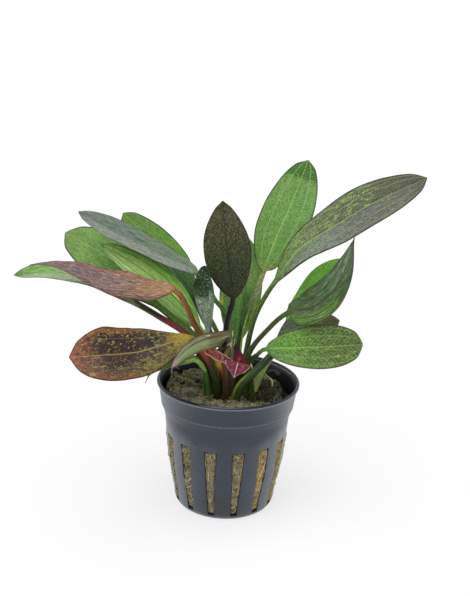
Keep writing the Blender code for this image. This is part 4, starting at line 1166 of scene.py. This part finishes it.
# The wilting leaf spread out on the left: maroon brown inside, yellow at its base and midrib, yellow
# flecks, and a rusty red margin.
add_leaf(
    "leaf_brown", name="leaf_left_brown", width=19.5, widest=0.68, taper=0.9, blunt=0.6, fold=0.08,
    stalk=2.4, foot=3.0, neck=6, faces=((0.1, -0.6, 0.8), (-0.1, -0.75, 0.65)),
    route=((-3.8, -6.4, 41.5), (-3.8, -8.6, 48.5), (-5.2, -9.6, 53.5), (-6.9, -10.6, 57.8), (-9, -11.6, 62),
           (-11.3, -13.2, 65.9), (-14, -16.2, 69), (-20, -22, 69), (-30.5, -29, 68), (-40.5, -35, 69.1),
           (-51, -38, 69)),
    tones=((-1, 46, 58, 32), (-0.6, 52, 62, 36), (-0.48, 66, 52, 36), (-0.4, 124, 56, 46),
           (-0.3, 160, 68, 52), (-0.18, 156, 88, 58), (-0.02, 180, 158, 66), (0.08, 156, 144, 58),
           (0.2, 122, 112, 56), (0.35, 94, 80, 56), (0.6, 98, 70, 56), (0.85, 130, 76, 58),
           (0.93, 146, 82, 72), (1, 164, 88, 96)),
    zones=(
        zone(0.18, 0.86, 0.75, (82, 62, 50), (-0.86, 0.84), 0.08, 0.25),
        zone(0.24, 0.82, 0.95, (44, 33, 42), (0.04, 0.74), ragged=0.2),
        zone(0.34, 0.76, 0.9, (56, 42, 46), (-0.62, -0.05), ragged=0.2),
        zone(0.45, 1.2, 0.8, (138, 80, 52), (0.78, 1.3), 0.12, 0.2),
        zone(0.5, 1.2, 0.8, (126, 76, 58), (-1.3, -0.7), 0.1, 0.2),
        zone(0.0, 0.55, 0.75, (128, 128, 64), (-1.2, -0.35), 0.1, 0.2, spots=(1.1, 2.0, 0.52, 0.07, 16.0)),
        zone(0.1, 0.95, 0.9, (150, 144, 74), (-0.95, 0.98), spots=(0.8, 1.8, 0.31, 0.04, 2.0)),
        zone(0.12, 1.0, 0.9, (206, 190, 98), spots=(0.4, 1.4, 0.21, 0.03, 7.0)),
        zone(0.4, 0.95, 0.95, (240, 204, 100), (0.6, 1.0), 0.1, spots=(0.4, 1.0, 0.27, 0.02, 21.0)),
        zone(0.1, 1.0, 0.6, (56, 40, 36), spots=(0.6, 1.8, 0.36, 0.05, 31.0)),
        zone(-0.06, 0.15, 0.8, (172, 154, 62), soft=0.08, ragged=0.25),
        zone(0.27, 0.33, 0.7, (170, 150, 160), (0.02, 0.16), 0.02),
    ),
    lines=dict(Midrib=0.5, Vein=0.24, First=0.56, Second=0.9, Rungs=1.2, Slope=-0.7),
    veined=dict(Net=(50, 42, 42, 0.25), Rungs=(128, 112, 72, 0.16), Veins=(136, 112, 66, 0.35),
                Midrib=(158, 138, 76, 0.75)),
    rim=(84, 36, 32, 0.75, 0.85), wave=0.9, crinkle=0.3, mottle=0.22, streaks=0.2, under=(130, 96, 72, 0.5),
)


# The leaf in front that has folded forward and shows its pale underside, with purple veins and rim
# and a limp grey tip.
add_leaf(
    "leaf_grey", name="leaf_front_folded", width=6.8, widest=0.38, taper=0.7, blunt=0.83, fold=0.2,
    stalk=1.8, neck=3, faces=((-0.2, 0.9, 0.3), (-0.2, 0.95, 0.05)),
    route=((1.1, -3.6, 41.5), (0.8, -7, 57.3), (0.4, -9, 64.1), (-0.4, -11, 69), (-5.1, -15.5, 68),
           (-10.1, -20.5, 68.2), (-14.1, -25.5, 67.5), (-16.4, -29, 66.3), (-18.9, -32, 64.1)),
    tones=((-1, 84, 78, 52), (-0.5, 88, 80, 60), (-0.12, 104, 106, 74), (0.02, 74, 88, 52),
           (0.14, 84, 96, 58), (0.3, 140, 156, 104), (0.6, 146, 164, 112), (0.8, 140, 156, 112),
           (0.9, 154, 146, 138), (1, 166, 156, 148)),
    zones=(
        zone(0.0, 0.5, 0.95, (116, 102, 72), (-1.3, -0.5), 0.08, 0.03),
        zone(0.4, 0.86, 0.9, (140, 142, 108), (-1.3, -0.42), 0.08, 0.03),
        zone(0.12, 0.36, 0.9, (78, 50, 54), (-0.66, -0.56), ragged=0.02),
        zone(0.3, 0.6, 0.9, (78, 50, 54), (-0.56, -0.46), ragged=0.02),
        zone(0.54, 0.86, 0.8, (84, 58, 60), (-0.46, -0.36), ragged=0.02),
        zone(0.05, 0.34, 0.8, (112, 120, 76), (-0.5, 0.3), 0.08, 0.03),
        zone(0.15, 0.9, 0.9, (108, 70, 70), (0.62, 0.78), 0.06, 0.02),
        zone(-0.3, 0.16, 0.8, (160, 168, 132), (-0.25, -0.05), 0.06, 0.03),
        zone(0.33, 0.4, 0.95, (214, 220, 130), (-0.84, -0.72), 0.02, 0.03),
    ),
    lines=dict(Midrib=0.4, Vein=0.26), veined=dict(Net=(96, 104, 76, 0.15), Veins=(96, 92, 70, 0.2)),
    rim=(92, 50, 62, 0.42, 0.95), wave=0.6, crinkle=0.2, mottle=0.1, under=(140, 150, 116, 0.0),
)


# The wilted leaf that droops to the left: mauve brown, finely wrinkled, with a rusty upper edge and
# base and a brown orange stalk.
add_leaf(
    "leaf_mauve", name="leaf_left_mauve", width=13.5, widest=0.4, taper=0.6, blunt=1.5, fold=0.12,
    stalk=2.3, neck=6, faces=((0.0, -0.4, 0.9), (0.0, -0.2, 0.98)),
    route=((-2, -3, 41.5), (-1.8, -4.8, 49.3), (-3.4, -6, 55.1), (-5.5, -6.4, 60.2), (-11.2, -7, 68.1),
           (-16, -9, 79), (-20, -10, 84.5), (-28, -11, 84), (-34.5, -12, 85), (-43.5, -13, 87),
           (-51.5, -14, 90.5), (-60, -15, 93), (-68, -15, 92.5)),
    tones=((-1, 40, 42, 32), (-0.88, 54, 52, 40), (-0.8, 104, 66, 48), (-0.74, 168, 104, 66),
           (-0.68, 204, 156, 66), (-0.58, 196, 148, 66), (-0.45, 140, 102, 60), (-0.3, 128, 88, 58),
           (-0.05, 138, 96, 62), (0.06, 156, 116, 80), (0.2, 148, 112, 86), (0.4, 134, 108, 106),
           (0.7, 126, 106, 112), (0.9, 126, 110, 112), (1, 112, 92, 98)),
    zones=(
        zone(0.08, 0.75, 0.7, (158, 104, 84), (0.6, 1.3), 0.15, 0.15),
        zone(-0.05, 0.3, 0.5, (164, 128, 88), soft=0.15, ragged=0.25),
        zone(0.1, 0.95, 0.7, (92, 66, 58), (-1.2, -0.75), 0.1),
        zone(0.05, 0.95, 0.65, (78, 62, 66), spots=(0.55, 8.0, 0.44, 0.07, 1.0)),
        zone(0.02, 0.9, 0.6, (180, 158, 140), spots=(0.4, 6.0, 0.38, 0.05, 6.0)),
        zone(0.1, 0.95, 0.8, (152, 56, 72), (0.2, 1.2), spots=(0.8, 1.6, 0.18, 0.03, 4.0)),
    ),
    lines=dict(Midrib=0.35, Vein=0.2, Rungs=2.0),
    veined=dict(Rungs=(128, 100, 92, 0.1), Veins=(150, 116, 96, 0.35), Midrib=(156, 120, 96, 0.4)),
    rim=(104, 58, 50, 0.5, 0.7), wave=0.7, crinkle=0.3, gloss=0.55, mottle=0.14, streaks=0.4,
    under=(150, 130, 116, 0.4),
)


# Six living leaves on the left, from the low pale one, paler on one half with a painted highlight, to
# the dark one behind, with the one on top silvery on one half with a painted grey sheen.
add_leaf(
    "leaf_green", name="leaf_left_low", width=10.5, widest=0.56, taper=1.1, blunt=0.5, fold=0.2, stalk=2.4,
    neck=6, faces=((0.1, -0.4, 0.9), (0.1, -0.3, 0.95)),
    route=((-4.9, -1.6, 41.5), (-5.5, -4.3, 48.2), (-7.3, -7.2, 55.5), (-9.9, -7.8, 60.5),
           (-15, -8.5, 67.5), (-25, -4, 72), (-34, -3.2, 76.8), (-49.5, -4, 85), (-63, -6, 87.5),
           (-75, -8, 86.5)),
    tones=((-1, 90, 101, 52), (-0.72, 47, 46, 35), (-0.5, 58, 50, 38), (-0.41, 100, 44, 44),
           (-0.26, 116, 48, 50), (-0.2, 74, 56, 42), (-0.1, 58, 70, 42), (0.0, 62, 82, 50),
           (0.15, 111, 134, 100), (0.4, 150, 168, 129), (0.75, 146, 178, 113), (0.93, 111, 147, 72),
           (1, 71, 63, 50)),
    zones=(
        # Painted highlight: pale along one half of the blade.
        zone(0.05, 0.98, 0.6, (180, 193, 159), (-1.2, -0.3), 0.12),
        zone(0.5, 0.98, 0.7, (111, 164, 72), (0.1, 1.2), 0.12),
    ),
    lines=dict(Midrib=0.4, Vein=0.24),
    veined=dict(Rungs=(150, 176, 120, 0.2), Veins=(84, 112, 60, 0.4), Midrib=(84, 112, 60, 0.5)),
    rim=(54, 50, 38, 0.5, 0.9), mottle=0.16, streaks=0.36,
)
add_leaf(
    "leaf_green", name="leaf_left_broad", width=19, widest=0.62, taper=0.7, blunt=0.48, fold=0.08,
    stalk=2.0, neck=2, faces=((0.35, -0.75, 0.55), (0.2, -0.8, 0.55)),
    route=((-8, 3, 41.5), (-8.2, 3.2, 57.5), (-15.5, 4, 65.5), (-23.5, 6.5, 76.5), (-36.5, 11, 83.5),
           (-50, 17, 89.5), (-63, 23, 94.5)),
    tones=((-1, 108, 131, 60), (-0.3, 94, 131, 58), (0.0, 103, 146, 68), (0.3, 103, 157, 68),
           (0.6, 119, 166, 78), (0.85, 116, 155, 76), (1, 101, 126, 62)),
    zones=(
        zone(-0.05, 1.1, 0.35, (141, 183, 95), spots=(3.5, 1.5, 0.45, 0.12, 2.0)),
        zone(0.55, 1.2, 0.35, (108, 122, 66), spots=(1.4, 1.5, 0.42, 0.08, 5.0)),
    ),
    lines=dict(Midrib=0.34, Vein=0.2, First=0.48, Second=0.86, Rungs=1.15, Slope=-0.6),
    veined=dict(Net=(84, 128, 58, 0.3), Rungs=(58, 106, 42, 0.25), Veins=(136, 174, 94, 0.6),
                Midrib=(150, 184, 100, 0.85)),
    rim=(46, 38, 30, 0.75, 0.95), mottle=0.22, streaks=0.2,
)
add_leaf(
    "leaf_grey", name="leaf_left_grey", width=14, widest=0.68, taper=0.5, blunt=0.6, fold=0.08, stalk=2.0,
    neck=3, faces=((0.2, -0.3, 0.9), (0.1, -0.2, 0.95)),
    route=((-1.8, 4, 41.5), (-1.8, 5, 68.5), (-6, 6, 76), (-13, 7, 85.5), (-22.5, 7.5, 90),
           (-33.5, 8, 95.5), (-44.5, 9, 100.5), (-56, 11, 105.5)),
    tones=((-1, 88, 108, 52), (-0.4, 74, 110, 50), (0.0, 112, 140, 96), (0.2, 112, 134, 110),
           (0.5, 110, 124, 110), (0.8, 108, 118, 108), (1, 104, 104, 100)),
    zones=(
        # Painted sheen: silvery grey on one half of the blade.
        zone(0.02, 0.95, 0.75, (146, 152, 144), (-1.2, -0.25), 0.15),
        zone(0.1, 0.95, 0.5, (84, 112, 76), (0.1, 1.2), spots=(1.6, 3.0, 0.5, 0.1, 1.0)),
        zone(0.0, 1.0, 0.35, (150, 154, 146), spots=(0.6, 8.0, 0.4, 0.06, 3.0)),
        zone(0.545, 0.6, 1.0, (56, 74, 56), (0.34, 0.46), 0.012, 0.02),
        zone(0.46, 0.53, 1.0, (56, 74, 56), (0.12, 0.22), 0.012, 0.02),
    ),
    lines=dict(Midrib=0.4, Vein=0.26),
    veined=dict(Net=(84, 104, 80, 0.35), Rungs=(136, 146, 132, 0.25), Veins=(156, 164, 150, 0.4),
                Midrib=(80, 102, 78, 0.6)),
    rim=(70, 72, 66, 0.45, 0.85), gloss=0.36, mottle=0.18, streaks=0.42,
)
add_leaf(
    "leaf_green", name="leaf_back_left", width=13, widest=0.64, taper=1.4, blunt=0.5, fold=0.08, stalk=2.0,
    neck=3, faces=((0.5, -0.7, 0.5), (0.3, -0.75, 0.5)),
    route=((-2.2, 9, 41.5), (-3.5, 13, 56), (-6.5, 16, 63), (-12.5, 19, 71.5), (-18.5, 23.5, 82),
           (-25, 27, 87), (-34.5, 31, 93.5), (-43, 36, 100)),
    tones=((-1, 94, 118, 48), (-0.3, 82, 118, 42), (0.1, 90, 139, 44), (0.5, 94, 139, 51),
           (0.8, 90, 127, 49), (1, 90, 114, 46)),
    zones=(
        zone(0.1, 0.6, 0.6, (96, 148, 41), (-0.1, 1.2), 0.15),
        zone(0.0, 1.1, 0.4, (114, 152, 70), spots=(3.0, 2.0, 0.45, 0.12, 8.0)),
    ),
    lines=dict(Midrib=0.32, Vein=0.2, Rungs=1.1, Slope=-0.6),
    veined=dict(Net=(72, 118, 44, 0.3), Rungs=(70, 116, 44, 0.2), Veins=(134, 176, 88, 0.55),
                Midrib=(140, 182, 92, 0.75)),
    rim=(44, 50, 28, 0.7, 0.95), mottle=0.26, streaks=0.2,
)
add_leaf(
    "leaf_bright", name="leaf_left_bright", width=13, widest=0.5, taper=0.7, blunt=0.6, fold=0.1, stalk=2.0,
    neck=2, faces=((0.3, -0.6, 0.75), (0.2, -0.5, 0.85)),
    route=((-4.6, 1.4, 41.5), (-6.8, 0.2, 60.5), (-11.5, -1, 68), (-19.5, 0, 77), (-26.5, 1, 83.5),
           (-32, 2, 87.5), (-38.5, 4, 91), (-47, 6, 95)),
    tones=((-1, 114, 135, 65), (-0.2, 119, 164, 76), (0.1, 130, 177, 85), (0.5, 147, 185, 100),
           (0.85, 161, 196, 111), (1, 176, 201, 120)),
    zones=(
        zone(0.05, 1.0, 0.6, (161, 194, 126), (-1.2, -0.45), 0.1),
        zone(0.2, 0.9, 0.6, (121, 177, 68), (0.45, 1.2), 0.1),
        zone(-0.15, 0.42, 0.9, (206, 216, 84), (0.07, 0.24), ragged=0.01),
    ),
    lines=dict(Midrib=0.42, Vein=0.24, First=0.45, Second=0.8),
    veined=dict(Rungs=(146, 178, 108, 0.12), Veins=(74, 116, 46, 0.7), Midrib=(70, 110, 44, 0.8)),
    rim=(92, 112, 52, 0.4, 0.7), mottle=0.12, streaks=0.22,
)
add_leaf(
    "leaf_dark_green", name="leaf_left_dark", width=12, widest=0.5, taper=0.7, blunt=0.7, fold=0.1,
    stalk=2.0, neck=3, faces=((0.4, -0.7, 0.6), (0.3, -0.7, 0.6)),
    route=((-5.2, 6, 41.5), (-6.5, 9, 59.5), (-10.5, 12, 67), (-14.5, 15, 74), (-18, 17, 78.5),
           (-25, 20, 85.5), (-32, 23, 93)),
    tones=((-1, 100, 108, 54), (-0.5, 62, 58, 43), (-0.1, 62, 65, 43), (0.1, 65, 103, 52),
           (0.6, 75, 122, 60), (1, 88, 132, 65)),
    lines=dict(Midrib=0.42, Vein=0.24),
    veined=dict(Rungs=(70, 108, 60, 0.2), Veins=(70, 110, 60, 0.4), Midrib=(40, 60, 36, 0.6)),
    rim=(40, 50, 34, 0.3, 0.7), gloss=0.38, mottle=0.3, streaks=0.25,
)


# The small leaves in the middle: a young rolled one, dark inside and pale outside, a dead crumpled
# magenta one, a dark red stub and a drooping one under the folded leaf.
add_leaf(
    "leaf_dark_green", name="leaf_young", width=12.2, widest=0.7, taper=0.8, blunt=0.4, fold=0.6, stalk=1.6,
    neck=2, faces=((-0.8, -0.5, 0.1), (-0.8, -0.5, 0.2)),
    route=((-7.4, 0.2, 41.5), (-7.3, -1.9, 60), (-7.8, -5.2, 67), (-6.9, -7, 75.5), (-6.7, -7, 83.5),
           (-8.3, -6.5, 88.5), (-11, -5.2, 91.3)),
    tones=((-1, 96, 116, 62), (-0.2, 104, 122, 90), (0.1, 112, 130, 108), (0.35, 100, 122, 98),
           (0.6, 84, 106, 82), (0.72, 52, 72, 50), (1, 46, 64, 44)),
    zones=(
        zone(-0.3, 0.6, 0.85, (140, 162, 138), soft=0.06, ragged=0.05),
        zone(0.5, 1.3, 0.95, (42, 62, 38), (-1.3, -0.2), ragged=0.05),
        zone(0.68, 1.3, 0.9, (46, 68, 42), (-0.3, 1.3), ragged=0.05),
        zone(0.5, 1.1, 0.85, (160, 184, 154), (-0.8, 0.6), spots=(0.4, 1.4, 0.28, 0.05, 3.0)),
        zone(0.1, 0.6, 0.5, (150, 168, 148), spots=(0.4, 1.8, 0.34, 0.05, 9.0)),
    ),
    lines=dict(Midrib=0.4, Vein=0.22),
    veined=dict(Rungs=(84, 108, 80, 0.2), Veins=(96, 120, 92, 0.3), Midrib=(70, 92, 68, 0.5)),
    rim=(112, 124, 108, 0.3, 0.7), gloss=0.36, mottle=0.6, under=(120, 136, 118, 0.3),
)
add_leaf(
    "leaf_red", name="leaf_crumpled", width=2.3, widest=0.45, taper=0.3, blunt=0.5, fold=0.2, stalk=1.6,
    neck=5, faces=((0.1, -0.6, 0.7), (0.1, -0.8, 0.4)),
    route=((-0.9, -8.6, 41.5), (-0.9, -10.2, 52.4), (-1.8, -10.2, 58), (-3.8, -11, 61.8),
           (-5.6, -12.2, 63.9), (-7.6, -14.6, 64.2), (-5.5, -16.0, 63.5), (-3.0, -17.0, 62.7),
           (-0.9, -17.7, 62.1), (0.6, -18.0, 61.6), (1.9, -18.2, 61.0)),
    tones=((-1, 60, 52, 34), (-0.7, 70, 56, 38), (-0.42, 84, 60, 42), (-0.24, 150, 104, 56),
           (-0.1, 168, 84, 52), (0.1, 186, 104, 66), (0.45, 160, 74, 62), (0.7, 116, 44, 58),
           (1, 112, 42, 58)),
    zones=(
        zone(0.3, 1.1, 0.85, (86, 30, 48), (-0.3, 0.4), 0.2, 0.2),
        zone(0.0, 1.1, 0.8, (96, 40, 52), spots=(0.8, 2.0, 0.46, 0.06, 7.0)),
        zone(-0.05, 1.1, 0.7, (226, 196, 170), spots=(0.5, 2.0, 0.28, 0.05, 2.0)),
    ),
    lines=dict(Midrib=0.4, Vein=0.2), veined=dict(Net=(90, 36, 52, 0.3)), rim=(198, 160, 150, 0.35, 0.7),
    wave=0.9, crinkle=0.4, gloss=0.35, under=(170, 100, 120, 0.3),
)
add_leaf(
    "leaf_red", name="leaf_stub_red", width=3.2, widest=0.35, taper=0.7, blunt=0.9, fold=0.2, stalk=2.0,
    neck=1, faces=((0.0, -0.9, 0.3), (0.0, -0.9, 0.3)),
    route=((1.9, -0.4, 41.5), (4.4, -3.6, 52), (3.8, -4.4, 57), (1.8, -4.6, 61.5), (0.4, -4, 65)),
    tones=((-1, 56, 62, 36), (0.22, 56, 60, 36), (0.38, 126, 40, 40), (0.52, 116, 36, 40),
           (0.66, 66, 42, 38), (1, 60, 42, 38)),
    lines=dict(Midrib=0.3, Vein=0.2),
    veined=dict(Rungs=(90, 50, 46, 0.2), Veins=(60, 22, 30, 0.5), Midrib=(60, 22, 30, 0.5)),
    rim=(60, 24, 30, 0.3, 0.5), wave=0.5, crinkle=0.3, under=(110, 50, 56, 0.4),
)
add_leaf(
    "leaf_bright", name="leaf_left_drooping", width=5, widest=0.4, taper=0.7, blunt=1.9, fold=0.1,
    stalk=2.4, foot=3.2, neck=4, faces=((-0.2, -0.5, 0.8), (-0.4, -0.3, 0.85)),
    route=((-7.6, -4.6, 41.5), (-7.8, -6.8, 48.3), (-8.4, -9.6, 54), (-10.3, -13.4, 59.2),
           (-12.6, -15.8, 61.5), (-16.5, -17.6, 61.8), (-20.8, -19.2, 61), (-24.6, -20.3, 59.2),
           (-26.9, -20.5, 56.9), (-28.4, -20.3, 53.7)),
    tones=((-1, 146, 155, 87), (-0.8, 96, 130, 64), (-0.5, 78, 115, 56), (-0.2, 81, 115, 59),
           (0.0, 94, 130, 67), (0.5, 99, 135, 70), (1, 125, 138, 98)),
    zones=(
        # Painted highlight along one edge of the stalk, and painted shade down its middle.
        zone(-1.1, 0.2, 0.55, (166, 200, 98), (-1.3, -0.55), 0.12, 0.04),
        zone(-1.1, 0.1, 0.7, (78, 122, 53), (0.4, 1.3), 0.12, 0.04),
        zone(-1.1, -0.3, 0.75, (44, 70, 30), (-0.5, 0.45), 0.2, 0.04),
    ),
    lines=dict(Midrib=0.35, Vein=0.2),
    veined=dict(Rungs=(104, 138, 74, 0.2), Veins=(106, 138, 76, 0.4), Midrib=(108, 140, 72, 0.5)),
    rim=(90, 110, 60, 0.3, 0.6),
)

# The end of the crumpled leaf, which turns down from its twisted ribbon and spreads into a triangle.
crumpled_tip = dict(
    name="leaf_crumpled_tip", width=8.4, widest=0.07, taper=0.35, blunt=1.5, fold=0.3, stalk=0.4, foot=1.0,
    neck=1, faces=((0.1, -0.95, 0.1), (0.1, -0.95, 0.2)),
    route=((3.2, -18.6, 62.5), (3.0, -18.8, 62.1), (2.7, -19.2, 60.6), (2.3, -19.5, 58.7),
           (1.9, -19.8, 56.7)),
    tones=((-1, 124, 50, 58), (0.1, 122, 44, 58), (0.5, 114, 38, 54), (1, 94, 34, 48)),
    zones=(
        zone(0.0, 1.1, 0.6, (184, 122, 132), spots=(0.35, 1.6, 0.34, 0.06, 2.0)),
        zone(0.0, 1.1, 0.75, (70, 20, 34), spots=(0.8, 1.6, 0.45, 0.08, 4.0)),
    ),
    lines=dict(Midrib=0.34, Vein=0.16, First=0.5, Second=0.9, Rungs=1.3),
    veined=dict(Rungs=(160, 96, 106, 0.15), Veins=(170, 108, 120, 0.2), Midrib=(220, 176, 184, 0.85)),
    rim=(206, 166, 176, 0.3, 0.8), wave=0.6, crinkle=0.3, gloss=0.34, under=(170, 100, 120, 0.3),
)
add_piece("leaf_crumpled_tip", leaf_mesh(crumpled_tip), leaf_material(crumpled_tip), "leaf_red")
